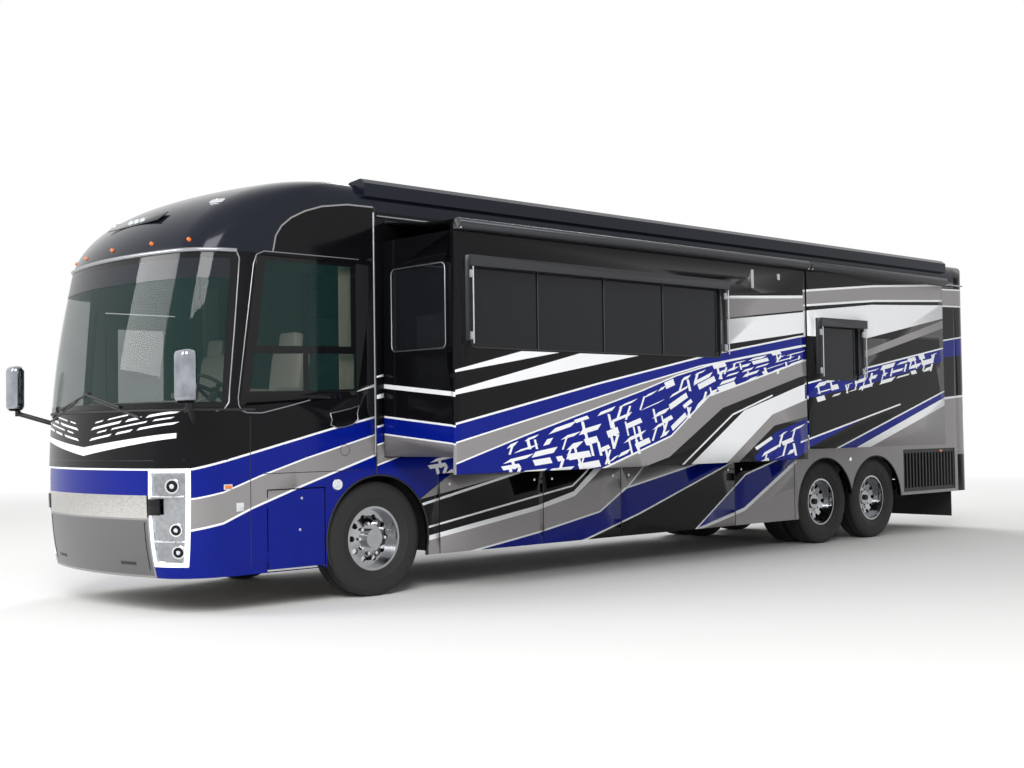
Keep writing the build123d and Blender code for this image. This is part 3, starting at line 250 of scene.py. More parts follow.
# Body paint: colour coats on moulded fibreglass, under a polished clear coat.
# The stripes are masked and sprayed, so each colour ends on a crisp line that runs
# over doors and slide-outs. The bars in the blue field are a plain broken-brick pattern.
black_coat = surface("black_coat", (0.004, 0.004, 0.005), 0.12, coat=0.03, tone=0.3, grain=1.2)
blue_coat = surface("blue_coat", (0.0015, 0.009, 0.20), 0.16, coat=0.04, tone=0.16, grain=1.5)
grey_coat = surface("grey_coat", (0.25, 0.238, 0.24), 0.36, metal=0.2, coat=0.1, tone=0.06, grain=90.0)
white_coat = surface("white_coat", (0.82, 0.83, 0.85), 0.3, coat=0.1, tone=0.03, grain=2.0)
dark_coat = surface("charcoal_coat", (0.009, 0.011, 0.019), 0.16, metal=0.1, coat=0.12, tone=0.2, grain=60.0)
for coat_paint in (black_coat, blue_coat, dark_coat):
    coat_paint.set(Specular_IOR_Level=0.13)
lining = surface("cabin_lining", (0.13, 0.122, 0.105), 0.8, tone=0.08, grain=6.0, relief=0.0006)
charcoal = surface("charcoal_aluminium", (0.035, 0.036, 0.041), 0.42, metal=0.5, tone=0.2, grain=30.0)
soot = surface("black_plastic", (0.014, 0.014, 0.015), 0.55, tone=0.3, grain=20.0, relief=0.0004)
frit = surface("black_glass_edge", (0.005, 0.005, 0.006), 0.06, tone=0.3, grain=2.0)
frit.set(Specular_IOR_Level=0.25)

axle_y = sum(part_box("tyre_front_left")[k][1] for k in (0, 1)) / 2
side_x = 1.285
face_x = 2.305
nose_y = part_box("front_cap")[0][1]
tail_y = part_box("rear_cap")[1][1]
pinstripe = 0.018
sharp_angle = math.radians(32.0)


def copied(node):
    """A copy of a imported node's mesh, its loose triangles merged."""
    shell = bmesh.new()
    shell.from_mesh(nodes[node].data)
    bmesh.ops.remove_doubles(shell, verts=shell.verts, dist=0.00002)
    return shell


def piece(name, shell, finishes, body, node=None, smooth=True):
    """Makes an object of a bmesh, gives it its finishes and fixes it to its body."""
    data = bpy.data.meshes.new(name)
    used = sorted({face.material_index for face in shell.faces})
    for face in shell.faces:
        face.material_index = used.index(face.material_index)
        face.smooth = smooth
    shell.to_mesh(data)
    shell.free()
    for index in used:
        data.materials.append(finishes[index].material)
    if smooth:
        data.set_sharp_from_angle(angle=sharp_angle)
    made = bpy.data.objects.new(name, data)
    bpy.context.scene.collection.objects.link(made)
    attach(made, body)
    if node:
        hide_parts(node)
    return made


def inside(outline, across, height):
    """Whether a point lies in an outline, by counting the edges above it."""
    hits = False
    for (u0, z0), (u1, z1) in zip(outline, outline[1:] + outline[:1]):
        if (u0 > across) != (u1 > across) and height < z0 + (z1 - z0) * (across - u0) / (u1 - u0):
            hits = not hits
    return hits


def lay(shell, along, wanted, fields):
    """Cuts the wanted faces along each field's outline and gives them its coat."""

    def span(face):
        across = [vert.co.dot(along) for vert in face.verts]
        heights = [vert.co.z for vert in face.verts]
        return min(across), max(across), min(heights), max(heights)

    for coat, outline in fields:
        low_u, high_u = min(u for u, z in outline), max(u for u, z in outline)
        low_z, high_z = min(z for u, z in outline), max(z for u, z in outline)
        near = {}
        for face in shell.faces:
            if wanted(face):
                box = span(face)
                if box[0] < high_u and box[1] > low_u and box[2] < high_z and box[3] > low_z:
                    near[face] = box
        for (u0, z0), (u1, z1) in zip(outline, outline[1:] + outline[:1]):
            edge = (min(u0, u1), max(u0, u1), min(z0, z1), max(z0, z1))
            cut = [
                face
                for face, box in near.items()
                if box[0] <= edge[1] and box[1] >= edge[0] and box[2] <= edge[3] and box[3] >= edge[2]
            ]
            if not cut:
                continue
            for face in cut:
                del near[face]
            geometry = set(cut)
            for face in cut:
                geometry.update(face.edges)
                geometry.update(face.verts)
            result = bmesh.ops.bisect_plane(
                shell,
                geom=list(geometry),
                dist=0.00001,
                plane_co=along * u0 + Vector((0.0, 0.0, z0)),
                plane_no=along * (z0 - z1) + Vector((0.0, 0.0, u1 - u0)),
            )
            for item in result["geom"]:
                if isinstance(item, bmesh.types.BMFace):
                    near[item] = span(item)
        for face in near:
            middle = face.calc_center_median()
            if inside(outline, middle.dot(along), middle.z):
                face.material_index = coat


def band(coat, upper, lower):
    """Field between two lines that both run rearwards."""
    return coat, list(upper) + list(reversed(lower))


def line(coat, points, width=pinstripe):
    """Fields of a thin stripe along a line."""
    made = []
    for (u0, z0), (u1, z1) in zip(points, points[1:]):
        length = math.hypot(u1 - u0, z1 - z0)
        across = (width / 2 * (z0 - z1) / length, width / 2 * (u1 - u0) / length)
        made.append(
            (
                coat,
                [
                    (u0 + across[0], z0 + across[1]),
                    (u1 + across[0], z1 + across[1]),
                    (u1 - across[0], z1 - across[1]),
                    (u0 - across[0], z0 - across[1]),
                ],
            )
        )
    return made


def height_on(points, across):
    """Height of a line at a place along the coach."""
    for (u0, z0), (u1, z1) in zip(points, points[1:]):
        if u0 <= across <= u1:
            return z0 + (z1 - z0) * (across - u0) / (u1 - u0)
    return points[-1][1]


def bricks(seed, upper, lower, start, end, rows, coat):
    """Broken slanted bars of odd lengths in rows between two lines, tied by cross bars."""
    dice = random.Random(seed)
    made = []
    for row in range(rows):
        share = (row + 0.5) / rows
        place = start + dice.uniform(0.0, 0.2)
        while place < end:
            length = dice.uniform(0.07, 0.30)
            rise = height_on(upper, place) - height_on(lower, place)
            middle = height_on(upper, place) - share * rise
            ahead = height_on(upper, place + length) - share * (
                height_on(upper, place + length) - height_on(lower, place + length)
            )
            step = rise / rows
            half = min(dice.uniform(0.012, 0.032), 0.34 * step)
            slant = dice.choice((0.05, 0.09, -0.03))
            if place + length < end and rise > 0.1:
                made.append(
                    (
                        coat,
                        [
                            (place, middle - half),
                            (place + length, ahead - half),
                            (place + length + slant, ahead + half),
                            (place + slant, middle + half),
                        ],
                    )
                )
                for post in (dice.uniform(0.1, 0.4), dice.uniform(0.6, 0.9)):
                    if dice.random() < 0.5 and row < rows - 1:
                        foot = place + post * length
                        lean = dice.choice((-0.55, 0.35)) * step
                        thick = dice.uniform(0.022, 0.042)
                        made.append(
                            (
                                coat,
                                [
                                    (foot, middle),
                                    (foot + lean, middle - 1.15 * step),
                                    (foot + lean + thick, middle - 1.15 * step),
                                    (foot + thick, middle),
                                ],
                            )
                        )
            place += length + dice.uniform(0.05, 0.19)
    return made


def moved(fields, start):
    return [(coat, [(u + start, z) for u, z in outline]) for coat, outline in fields]


coats = (black_coat, blue_coat, grey_coat, white_coat, lining, charcoal, soot, frit, dark_coat)
BLACK, BLUE, GREY, WHITE, LINING, CHARCOAL, SOOT, FRIT, DARK = range(9)

# Side of the nose, measured from the front axle
nose_blue = ((-2.0, 1.19), (-1.84, 1.22), (-1.55, 1.282), (-0.51, 1.53), (0.06, 1.65))
nose_grey = ((-2.0, 0.955), (-1.84, 0.974), (-1.61, 1.014), (-1.26, 1.135), (-0.785, 1.276), (0.06, 1.495))
nose_foot = ((-2.0, 0.70), (-1.87, 0.714), (-1.61, 0.759), (-1.34, 0.868), (-0.84, 1.035), (0.06, 1.315))
roof_arc = (
    (-1.11, 3.06),
    (-1.08, 3.20),
    (-1.02, 3.29),
    (-0.92, 3.37),
    (-0.78, 3.44),
    (-0.60, 3.50),
    (-0.32, 3.545),
    (-0.03, 3.55),
)
nose_fields = (
    [
        (DARK, [(-2.0, 3.04), (0.06, 3.04), (0.06, 3.75), (-2.0, 3.75)]),
        (BLACK, [*roof_arc, (0.06, 3.55), (0.06, 3.0), (-1.11, 3.0)]),
        band(BLUE, nose_blue, ((-2.0, 0.2), (0.06, 0.2))),
        band(GREY, nose_grey, nose_foot),
        (WHITE, [(-0.25, 1.858), (0.06, 1.925), (0.06, 1.965), (-0.19, 1.88)]),
    ]
    + line(WHITE, nose_blue)
    + line(WHITE, nose_grey, 0.014)
    + line(WHITE, nose_foot)
    + line(GREY, roof_arc, 0.014)
)

# Skirt from the front wheel to the tail
skirt_base = ((0.0, 0.2), (10.8, 0.2))
thin_line = ((0.30, 0.551), (2.0, 0.825), (2.51, 0.906), (2.685, 1.02), (2.79, 1.10))
thick_top = ((0.30, 0.475), (2.0, 0.728), (2.53, 0.85), (2.785, 1.035), (2.87, 1.10))
thick_foot = ((0.30, 0.430), (2.0, 0.680), (2.545, 0.80), (2.85, 1.0), (2.99, 1.10))
grey_edge = ((0.96, 0.31), (2.01, 0.458), (2.92, 0.62), (3.314, 0.848), (4.26, 1.024), (4.65, 1.10))
blue_edge = ((2.5, 0.307), (2.715, 0.344), (3.55, 0.568), (4.94, 1.002), (5.25, 1.10))
wedge_top = ((4.45, 0.31), (5.437, 0.928), (5.83, 1.024), (6.15, 1.10))
wedge_foot = ((4.35, 0.31), (5.393, 0.538), (6.336, 1.019), (6.49, 1.10))
tail_grey = ((4.25, 0.26), (5.41, 0.50), (6.38, 0.99), (6.55, 1.10))
front_line = ((0.30, 0.769), (1.576, 1.033), (1.9, 1.10))
skirt_fields = (
    [
        (BLUE, [(0.0, 1.12), (0.0, 0.9), (0.46, 0.86), (0.92, 1.12)]),
        band(GREY, ((0.92, 1.12), (1.9, 1.12)), ((0.48, 0.86), (1.9, 1.10))),
        band(WHITE, thick_top, thick_foot),
        (GREY, [*thick_foot, *reversed(grey_edge), (0.3, 0.2)]),
        band(BLUE, grey_edge, blue_edge),
        band(BLUE, wedge_top, wedge_foot),
        (WHITE, [*wedge_foot, *reversed(tail_grey)]),
        (GREY, [*tail_grey, (10.8, 1.10), (10.8, 0.2), (4.2, 0.2)]),
    ]
    + line(WHITE, front_line, 0.024)
    + line(WHITE, thin_line)
    + line(WHITE, grey_edge)
    + line(WHITE, ((2.92, 0.62), (3.375, 0.872), (3.65, 1.10)))
    + line(WHITE, blue_edge)
    + line(WHITE, wedge_top)
)

# Outer face of the slide-outs and the wall above the skirt
blue_top = ((-0.1, 1.52), (0.0, 1.543), (1.87, 1.929), (3.58, 2.251), (5.11, 2.487), (5.25, 2.50))
grey_top = ((-0.1, 1.36), (0.0, 1.38), (2.44, 1.928), (3.37, 2.122), (5.11, 2.382), (5.25, 2.395))
shard_top = ((-0.1, 1.17), (0.0, 1.197), (0.85, 1.439), (2.44, 1.855), (3.0, 2.02), (3.6, 2.15), (5.25, 2.39))
lower_top = ((1.80, 1.09), (2.895, 1.411), (3.50, 1.815), (5.1, 2.20), (5.25, 2.23))
lower_foot = ((2.24, 1.06), (2.863, 1.203), (3.726, 1.692), (5.094, 2.033), (5.25, 2.06))
white_left = ((3.10, 1.06), (4.092, 1.665), (5.09, 1.932), (5.25, 1.97))
white_right = ((3.69, 1.06), (4.587, 1.62), (5.084, 1.747), (5.25, 1.79))
grey_right = ((3.88, 1.06), (4.62, 1.50), (5.25, 1.60))
shard_field = ((-0.1, 1.05), *lower_top)
slide_fields = (
    [
        band(BLUE, blue_top, grey_top),
        band(GREY, grey_top, shard_top),
        band(BLUE, shard_top, shard_field),
        band(GREY, lower_top, lower_foot),
        band(WHITE, white_left, white_right),
        band(GREY, white_right, grey_right),
        (WHITE, [(-0.1, 1.78), (-0.1, 1.81), (1.6, 2.205), (2.43, 2.205)]),
        (WHITE, [(-0.1, 1.975), (-0.1, 1.985), (0.85, 2.205), (1.33, 2.205)]),
        (GREY, [(3.62, 2.834), (5.25, 2.93), (5.25, 2.79), (3.62, 2.62)]),
        (WHITE, [(3.60, 2.60), (5.25, 2.77), (5.25, 2.54), (3.80, 2.36), (3.60, 2.36)]),
    ]
    + line(WHITE, blue_top)
    + line(WHITE, grey_top, 0.014)
    + line(WHITE, shard_top, 0.014)
    + line(WHITE, lower_top)
    + line(WHITE, ((3.62, 2.845), (5.25, 2.94)), 0.03)
    + line(WHITE, ((2.97, 1.06), (3.892, 1.622), (4.6, 1.83)))
    + bricks(4, shard_top, shard_field, 0.6, 5.15, 5, WHITE)
    + [(BLUE, [(4.25, 1.16), (4.62, 1.42), (5.25, 1.58), (5.25, 1.22), (4.9, 1.09), (4.35, 1.06)])]
    + bricks(8, ((4.2, 1.26), (4.62, 1.44), (5.3, 1.60)), ((4.2, 1.0), (5.3, 1.24)), 4.25, 5.2, 3, WHITE)
)
rear_upper = ((5.20, 3.005), (6.65, 3.145), (8.14, 3.245), (8.3, 3.25))
rear_lower = ((5.20, 2.84), (6.65, 2.969), (8.13, 3.048), (8.3, 3.055))
rear_blue = ((5.20, 1.96), (6.355, 2.147), (8.138, 2.436), (8.3, 2.46))
rear_shard = ((5.20, 1.79), (6.311, 1.94), (8.126, 2.27), (8.3, 2.30))
rear_a = ((5.10, 1.31), (7.188, 1.737))
rear_b = ((5.14, 1.212), (6.358, 1.563), (7.19, 1.73))
rear_c = ((5.765, 1.214), (8.126, 1.874), (8.3, 1.92))
rear_d = ((6.15, 1.213), (8.122, 1.791), (8.3, 1.84))
rear_e = ((6.45, 1.213), (8.117, 1.689), (8.3, 1.74))
rear_fields = (
    [
        band(GREY, rear_upper, rear_lower),
        (WHITE, [(5.2, 2.78), (6.6, 2.92), (8.3, 3.0), (8.3, 2.84), (6.5, 2.52), (5.2, 2.50)]),
        (GREY, [(6.36, 2.35), (8.3, 2.82), (8.3, 2.72), (6.36, 2.27)]),
        band(BLUE, rear_blue, rear_shard),
        (BLUE, [*rear_a, *reversed(rear_b)]),
        band(BLUE, rear_c, rear_d),
        band(WHITE, rear_d, rear_e),
        (GREY, [*rear_e, (8.3, 1.05), (6.40, 1.05)]),
    ]
    + line(WHITE, rear_upper, 0.024)
    + line(WHITE, rear_lower, 0.024)
    + line(WHITE, rear_blue)
    + line(WHITE, rear_a)
    + line(WHITE, rear_c)
    + bricks(11, rear_blue, ((5.2, 1.70), (8.3, 2.22)), 5.3, 8.1, 3, WHITE)
)
tail_fields = (
    [
        band(GREY, ((8.2, 3.33), (10.8, 3.42)), ((8.2, 3.10), (10.8, 3.18))),
        band(BLUE, ((8.2, 2.44), (10.8, 2.76)), ((8.2, 2.24), (10.8, 2.50))),
        band(GREY, ((8.2, 1.72), (10.8, 1.90)), ((8.2, 1.05), (10.8, 1.05))),
    ]
    + line(WHITE, ((8.2, 3.33), (10.8, 3.42)), 0.02)
    + line(WHITE, ((8.2, 3.10), (10.8, 3.18)), 0.02)
    + line(WHITE, ((8.2, 2.44), (10.8, 2.76)))
    + line(WHITE, ((8.2, 1.72), (10.8, 1.90)), 0.03)
)
upper_fields = slide_fields + rear_fields + tail_fields


def outward(face):
    """Faces on the outside of a side of the coach."""
    return face.normal.x * face.calc_center_median().x > 0.0 and abs(face.normal.x) > 0.5


def line_inside(shell, depth):
    """Gives the faces that look into the cabin their lining."""
    for face in shell.faces:
        middle = face.calc_center_median()
        if middle.x * face.normal.x < 0.0 and abs(face.normal.x) > 0.4 and abs(middle.x) > depth:
            face.material_index = LINING
        if face.normal.z < -0.4 and middle.z > 3.0 and abs(middle.x) < side_x - 0.04:
            face.material_index = LINING


for side_name in ("left", "right"):
    wall = copied(f"side_wall_{side_name}")
    lay(wall, Vector((0, 1, 0)), outward, moved(skirt_fields + upper_fields, axle_y))
    line_inside(wall, 1.0)
    piece(f"painted_wall_{side_name}", wall, coats, "coach", f"side_wall_{side_name}")
    for number in range(1, 5):
        door = f"bay_door_{side_name}_{number}"
        skin = copied(door)
        lay(skin, Vector((0, 1, 0)), outward, moved(skirt_fields, axle_y))
        for face in skin.faces:
            middle = face.calc_center_median()
            if face.normal.x * middle.x < 0.0 and abs(face.normal.x) > 0.5:
                face.material_index = SOOT
        piece(f"painted_{door}", skin, coats, body_of[door], door)

skin = copied("service_door")
lay(skin, Vector((0, 1, 0)), outward, moved(nose_fields, axle_y))
piece("painted_service_door", skin, coats, "service_door", "service_door")
skin = copied("entry_door")
lay(skin, Vector((0, 1, 0)), outward, moved(nose_fields, axle_y))
line_inside(skin, 1.0)
piece("painted_entry_door", skin, coats, "entry_door", "entry_door")

# Slide-out rooms: painted boxes with a fascia that overlaps the wall.
# The awning cassette and its arms on the outer face are charcoal aluminium.
end_fields = (
    [
        (WHITE, [(1.2, 1.90), (2.35, 1.785), (2.35, 1.825), (1.2, 1.94)]),
        (BLUE, [(1.2, 1.64), (2.35, 1.53), (2.35, 1.375), (1.2, 1.48)]),
        (GREY, [(1.2, 1.48), (2.35, 1.375), (2.35, 1.0), (1.2, 1.0)]),
    ]
    + line(WHITE, ((1.2, 1.64), (2.35, 1.53)))
    + line(WHITE, ((1.2, 1.48), (2.35, 1.375)), 0.014)
)
mirror_end = [(coat, [(-u, z) for u, z in outline]) for coat, outline in end_fields]
for room in ("slide_front_left", "slide_rear_left", "slide_right"):
    skin = copied(room)
    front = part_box(room)[0][1]
    ends = mirror_end if room == "slide_right" else end_fields

    def ahead(face):
        return face.normal.y < -0.5 and face.calc_center_median().y < front + 0.1

    def fascia(face):
        return outward(face) and abs(face.calc_center_median().x) < face_x + 0.001

    lay(skin, Vector((0, 1, 0)), fascia, moved(slide_fields + rear_fields, axle_y))
    lay(skin, Vector((1, 0, 0)), ahead, ends)
    line_inside(skin, 1.4)
    for face in skin.faces:
        middle = face.calc_center_median()
        if abs(middle.x) > face_x + 0.001:
            face.material_index = CHARCOAL
        elif middle.z < 1.26 and abs(middle.x) < face_x - 0.05:
            face.material_index = SOOT
    piece(f"painted_{room}", skin, coats, room, room)

# Nose cap: one moulding from the bumper to the roof. The charcoal crown ends over the
# glass, the band under it is black, and a wide chevron lies below the windshield.
nose = copied("front_cap")
bmesh.ops.bisect_plane(
    nose,
    geom=[*nose.verts, *nose.edges, *nose.faces],
    dist=0.00001,
    plane_co=(0, axle_y - 1.90, 0),
    plane_no=(0, 1, 0),
)


bmesh.ops.bisect_plane(
    nose, geom=[*nose.verts, *nose.edges, *nose.faces], dist=0.00001, plane_co=(0, 0, 3.04), plane_no=(0, 0, 1)
)


def beside(face):
    middle = face.calc_center_median()
    return outward(face) and middle.y > axle_y - 1.90


def before(face):
    middle = face.calc_center_median()
    return face.normal.y < -0.1 and middle.y < axle_y - 1.90 and abs(middle.x) < 1.284


chevron = []
lattice = [((0.0, 1.325), (1.16, 1.470), (1.16, 1.512), (0.0, 1.398))]
for lift, thick, dashes in (
    (0.115, 0.022, ((0.10, 0.42), (0.50, 0.70), (0.78, 1.14))),
    (0.165, 0.016, ((0.22, 0.36), (0.44, 0.88), (0.96, 1.12))),
    (0.205, 0.024, ((0.12, 0.55), (0.63, 0.80), (0.88, 1.15))),
    (0.255, 0.014, ((0.18, 0.30), (0.38, 0.66))),
):
    for near_end, far_end in dashes:
        first, last = (1.325 + lift + 0.125 * across for across in (near_end, far_end))
        lattice.append(
            (
                (near_end, first),
                (far_end, last),
                (far_end + 1.6 * thick, last + thick),
                (near_end + 1.6 * thick, first + thick),
            )
        )
for hand in (1, -1):
    chevron += [(WHITE, [(hand * across, height) for across, height in bar]) for bar in lattice]
nose_front = [
    (BLUE, [(-1.3, 1.0), (1.3, 1.0), (1.3, 1.205), (-1.3, 1.205)]),
    (GREY, [(-0.93, 0.2), (0.93, 0.2), (0.93, 0.82), (-0.93, 0.82)]),
    (BLUE, [(0.93, 0.2), (1.3, 0.2), (1.3, 1.0), (0.93, 1.0)]),
    (BLUE, [(-0.93, 0.2), (-1.3, 0.2), (-1.3, 1.0), (-0.93, 1.0)]),
    (WHITE, [(-1.3, 1.205), (1.3, 1.205), (1.3, 1.221), (-1.3, 1.221)]),
] + chevron
lay(nose, Vector((0, 1, 0)), beside, moved(nose_fields, axle_y))
lay(nose, Vector((1, 0, 0)), before, nose_front)
for face in nose.faces:
    if face.calc_center_median().z > 3.04 and not outward(face):
        face.material_index = DARK
line_inside(nose, 1.0)
for face in nose.faces:
    if face.normal.y > 0.3 and face.calc_center_median().y < axle_y - 1.4:
        face.material_index = LINING
piece("painted_nose", nose, coats, "coach", "front_cap")

tail = copied("rear_cap")
lay(tail, Vector((0, 1, 0)), outward, moved(tail_fields, axle_y))
back_fields = [
    (GREY, [(-1.4, 1.0), (1.4, 1.0), (1.4, 1.06), (0.4, 1.96), (-1.4, 2.3)]),
    (BLUE, [(-1.4, 2.36), (0.42, 2.02), (1.4, 1.14), (1.4, 1.62), (0.7, 2.42), (-1.4, 2.74)]),
    (WHITE, [(-1.4, 2.33), (0.41, 1.99), (1.4, 1.10), (1.4, 1.14), (0.42, 2.02), (-1.4, 2.36)]),
    (WHITE, [(-1.4, 2.74), (0.7, 2.42), (1.4, 1.62), (1.4, 1.65), (0.71, 2.445), (-1.4, 2.765)]),
    (GREY, [(-1.4, 3.10), (1.4, 3.10), (1.4, 3.22), (-1.4, 3.22)]),
]


def behind(face):
    return face.normal.y > 0.4


lay(tail, Vector((1, 0, 0)), behind, back_fields)
line_inside(tail, 1.0)
piece("painted_tail", tail, coats, "coach", "rear_cap")
skin = copied("rear_hatch")
lay(skin, Vector((1, 0, 0)), behind, back_fields)
piece("painted_rear_hatch", skin, coats, "rear_hatch", "rear_hatch")

# Roof: a white fibreglass skin between the caps, its rounded edges painted with the body.
# Long charcoal mouldings stand over the side walls and hide the roof equipment.
roof_white = surface("roof_skin", (0.62, 0.62, 0.60), 0.5, tone=0.06, grain=5.0, relief=0.0008, relief_scale=90.0)
roof = copied("roof_panel")
for face in roof.faces:
    middle = face.calc_center_median()
    if face.normal.z < -0.2 or (middle.x * face.normal.x < 0 and abs(face.normal.x) > 0.4):
        face.material_index = LINING
    elif abs(middle.x) > 1.1:
        face.material_index = DARK
    else:
        face.material_index = len(coats)
piece("painted_roof", roof, coats + (roof_white,), "coach", "roof_panel")

shared = {
    "roof_fairings": dark_coat,
    "radiator_grille": soot,
    "basement": soot,
    "floor_deck": surface("floor_boards", (0.19, 0.12, 0.07), 0.5, tone=0.3, grain=8.0),
    "entry_steps": surface("step_tread", (0.06, 0.055, 0.05), 0.7, tone=0.2, relief=0.0015, relief_scale=140.0),
    "dashboard": surface("dash_cover", (0.46, 0.45, 0.37), 0.6, tone=0.08, grain=9.0, relief=0.0006, relief_scale=500.0),
    "steering_wheel": surface("wheel_leather", (0.03, 0.028, 0.026), 0.5, tone=0.2, relief=0.0004, relief_scale=600.0),
    "wipers": soot,
    "mud_flap": surface("flap_rubber", (0.02, 0.02, 0.02), 0.75, tone=0.3, grain=14.0, relief=0.001, relief_scale=60.0),
    "engine": surface("engine_enamel", (0.05, 0.05, 0.052), 0.45, tone=0.3, grain=7.0, relief=0.002, relief_scale=30.0),
    "chassis_frame": surface("frame_paint", (0.03, 0.03, 0.032), 0.5, tone=0.3, grain=12.0, relief=0.0005),
    "air_conditioners": surface("shroud_plastic", (0.55, 0.55, 0.53), 0.45, tone=0.05, grain=4.0, relief=0.0005),
}
cast_iron = surface("cast_iron", (0.035, 0.034, 0.033), 0.65, metal=0.5, tone=0.4, grain=25.0, relief=0.0012, relief_scale=120.0)
for node in ("front_axle", "drive_axle", "tag_axle", "knuckle_left", "knuckle_right"):
    shared[node] = cast_iron
for node, made in shared.items():
    for slot in nodes[node].material_slots:
        slot.material = made.material

# Windshield: one bowed pane of laminated glass, green at the edge, with a black border
# printed on its rim and a dark sun band. It is bonded into the nose.
clear_glass = Finish("windshield_glass")
tint = clear_glass.noise(0.8, 1.0)
clear_glass.set(Base_Color=clear_glass.blend(tint, (0.010, 0.034, 0.032, 1.0), (0.016, 0.048, 0.044, 1.0)))
clear_glass.set(Roughness=tint * 0.02 + 0.01, Alpha=0.36, Specular_IOR_Level=0.3)
sun_band = Finish("windshield_sun_band")
shade = sun_band.noise(0.8, 1.0)
sun_band.set(Base_Color=sun_band.blend(shade, (0.01, 0.014, 0.018, 1.0), (0.016, 0.02, 0.026, 1.0)))
sun_band.set(Roughness=shade * 0.02 + 0.01, Alpha=0.88, Specular_IOR_Level=0.3)
dark_glass = Finish("privacy_glass")
smoke = dark_glass.noise(0.7, 1.0)
dark_glass.set(Base_Color=dark_glass.blend(smoke, (0.006, 0.007, 0.009, 1.0), (0.012, 0.013, 0.016, 1.0)))
dark_glass.set(Roughness=smoke * 0.02 + 0.012, Alpha=0.95, Specular_IOR_Level=0.22)
glasses = (clear_glass, sun_band, frit, dark_glass)
shield = copied("windshield")


def everywhere(face):
    return True


lay(shield, Vector((1, 0, 0)), everywhere, [(1, [(-1.4, 2.80), (1.4, 2.80), (1.4, 3.1), (-1.4, 3.1)])])
lay(
    shield,
    Vector((0, 1, 0)),
    everywhere,
    moved(
        [
            (2, [(-2.3, 2.97), (-1.4, 2.97), (-1.4, 3.1), (-2.3, 3.1)]),
            (2, [(-2.3, 1.6), (-1.4, 1.6), (-1.4, 1.765), (-2.3, 1.765)]),
            (2, [(-1.625, 1.7), (-1.40, 1.7), (-1.40, 3.1), (-1.515, 3.1)]),
        ],
        axle_y,
    ),
)
piece("windshield_pane", shield, glasses, "coach", "windshield")

# Side glass: flush panes with a black printed border. The driver's window has a fixed
# upper light over two smaller panes that slide.
side_glass = copied("window_glass")
for face in side_glass.faces:
    face.material_index = 2 if face.calc_center_median().x > 0 else 3


def on_left(face):
    return face.calc_center_median().x > 0.0


lights = (
    [(-1.175, 2.985), (-0.285, 2.985), (-0.285, 2.265), (-1.275, 2.245)],
    [(-1.30, 2.175), (-0.80, 2.19), (-0.80, 1.865), (-1.345, 1.855)],
    [(-0.748, 2.195), (-0.245, 2.20), (-0.245, 1.885), (-0.748, 1.865)],
)
lay(side_glass, Vector((0, 1, 0)), on_left, moved([(0, list(light)) for light in lights], axle_y))
piece("side_panes", side_glass, glasses, "coach", "window_glass")
for node in ("slide_glass_front_left", "slide_glass_rear_left", "slide_glass_right", "entry_glass"):
    made = clear_glass if node == "entry_glass" else dark_glass
    for slot in nodes[node].material_slots:
        slot.material = made.material

# Bright trims: chromed and anodised strips along the glass, the wall joint and the roof.
chrome = surface("chrome", (0.78, 0.79, 0.81), 0.06, metal=1.0, tone=0.04, grain=5.0)
satin = surface("satin_aluminium", (0.32, 0.33, 0.35), 0.32, metal=1.0, tone=0.08, grain=40.0)
rubber = surface("window_rubber", (0.012, 0.012, 0.012), 0.7, tone=0.3, grain=30.0, relief=0.0005)


def strip(name, points, radius, made, body, closed=False):
    """Round moulding along a line of points, as a curve with a bevel."""
    data = bpy.data.curves.new(name, "CURVE")
    data.dimensions = "3D"
    data.bevel_depth = radius
    data.bevel_resolution = 3
    data.use_fill_caps = True
    spline = data.splines.new("POLY")
    spline.points.add(len(points) - 1)
    for point, place in zip(spline.points, points):
        point.co = (*place, 1.0)
    spline.use_cyclic_u = closed
    data.materials.append(made.material)
    drawn = bpy.data.objects.new(name, data)
    bpy.context.scene.collection.objects.link(drawn)
    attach(drawn, body)
    return drawn


def at(along, height, out=0.0):
    return (side_x + out, axle_y + along, height)


strip("wall_joint_trim", [at(-0.03, 1.30), at(-0.03, 3.50)], 0.011, satin, "coach")
for hand, side_name in ((1, "left"), (-1, "right")):
    strip(
        f"joint_trim_{side_name}",
        [(hand * side_x, axle_y - 0.02, height) for height in (1.10, 3.55)],
        0.006,
        rubber,
        "coach",
    )
    strip(
        f"roof_gutter_{side_name}",
        [(hand * (side_x + 0.004), axle_y + along, 3.47) for along in (0.0, 10.6)],
        0.012,
        satin,
        "coach",
    )
frame_line = [
    at(-0.20, 3.055),
    at(-1.20, 3.055),
    at(-1.275, 3.02),
    at(-1.305, 2.94),
    at(-1.465, 1.80),
    at(-1.46, 1.74),
    at(-1.435, 1.695),
    at(-1.38, 1.675),
    at(-1.233, 1.672),
    at(-1.0, 1.722),
    at(-0.742, 1.783),
]
strip("driver_window_frame", frame_line, 0.006, satin, "coach")


# Lamps: a chromed bowl behind a clear cover in each front corner, framed by a white
# light guide. One unit sits above the bright band and two round ones below it.
skin_parts = ("front_cap", "headlamps", "nose_band", "bumper_panel", "windshield", "side_wall_left", "service_door")
skin = bmesh.new()
for node in skin_parts:
    skin.from_mesh(nodes[node].data)
skin_tree = BVHTree.FromBMesh(skin)
skin.free()


def on_nose(across, height, out=0.0):
    """Point on the front of the coach and the way its skin faces there."""
    hit, normal, _, _ = skin_tree.ray_cast(Vector((across, -9.0, height)), Vector((0.0, 1.0, 0.0)))
    return hit + normal * out, normal


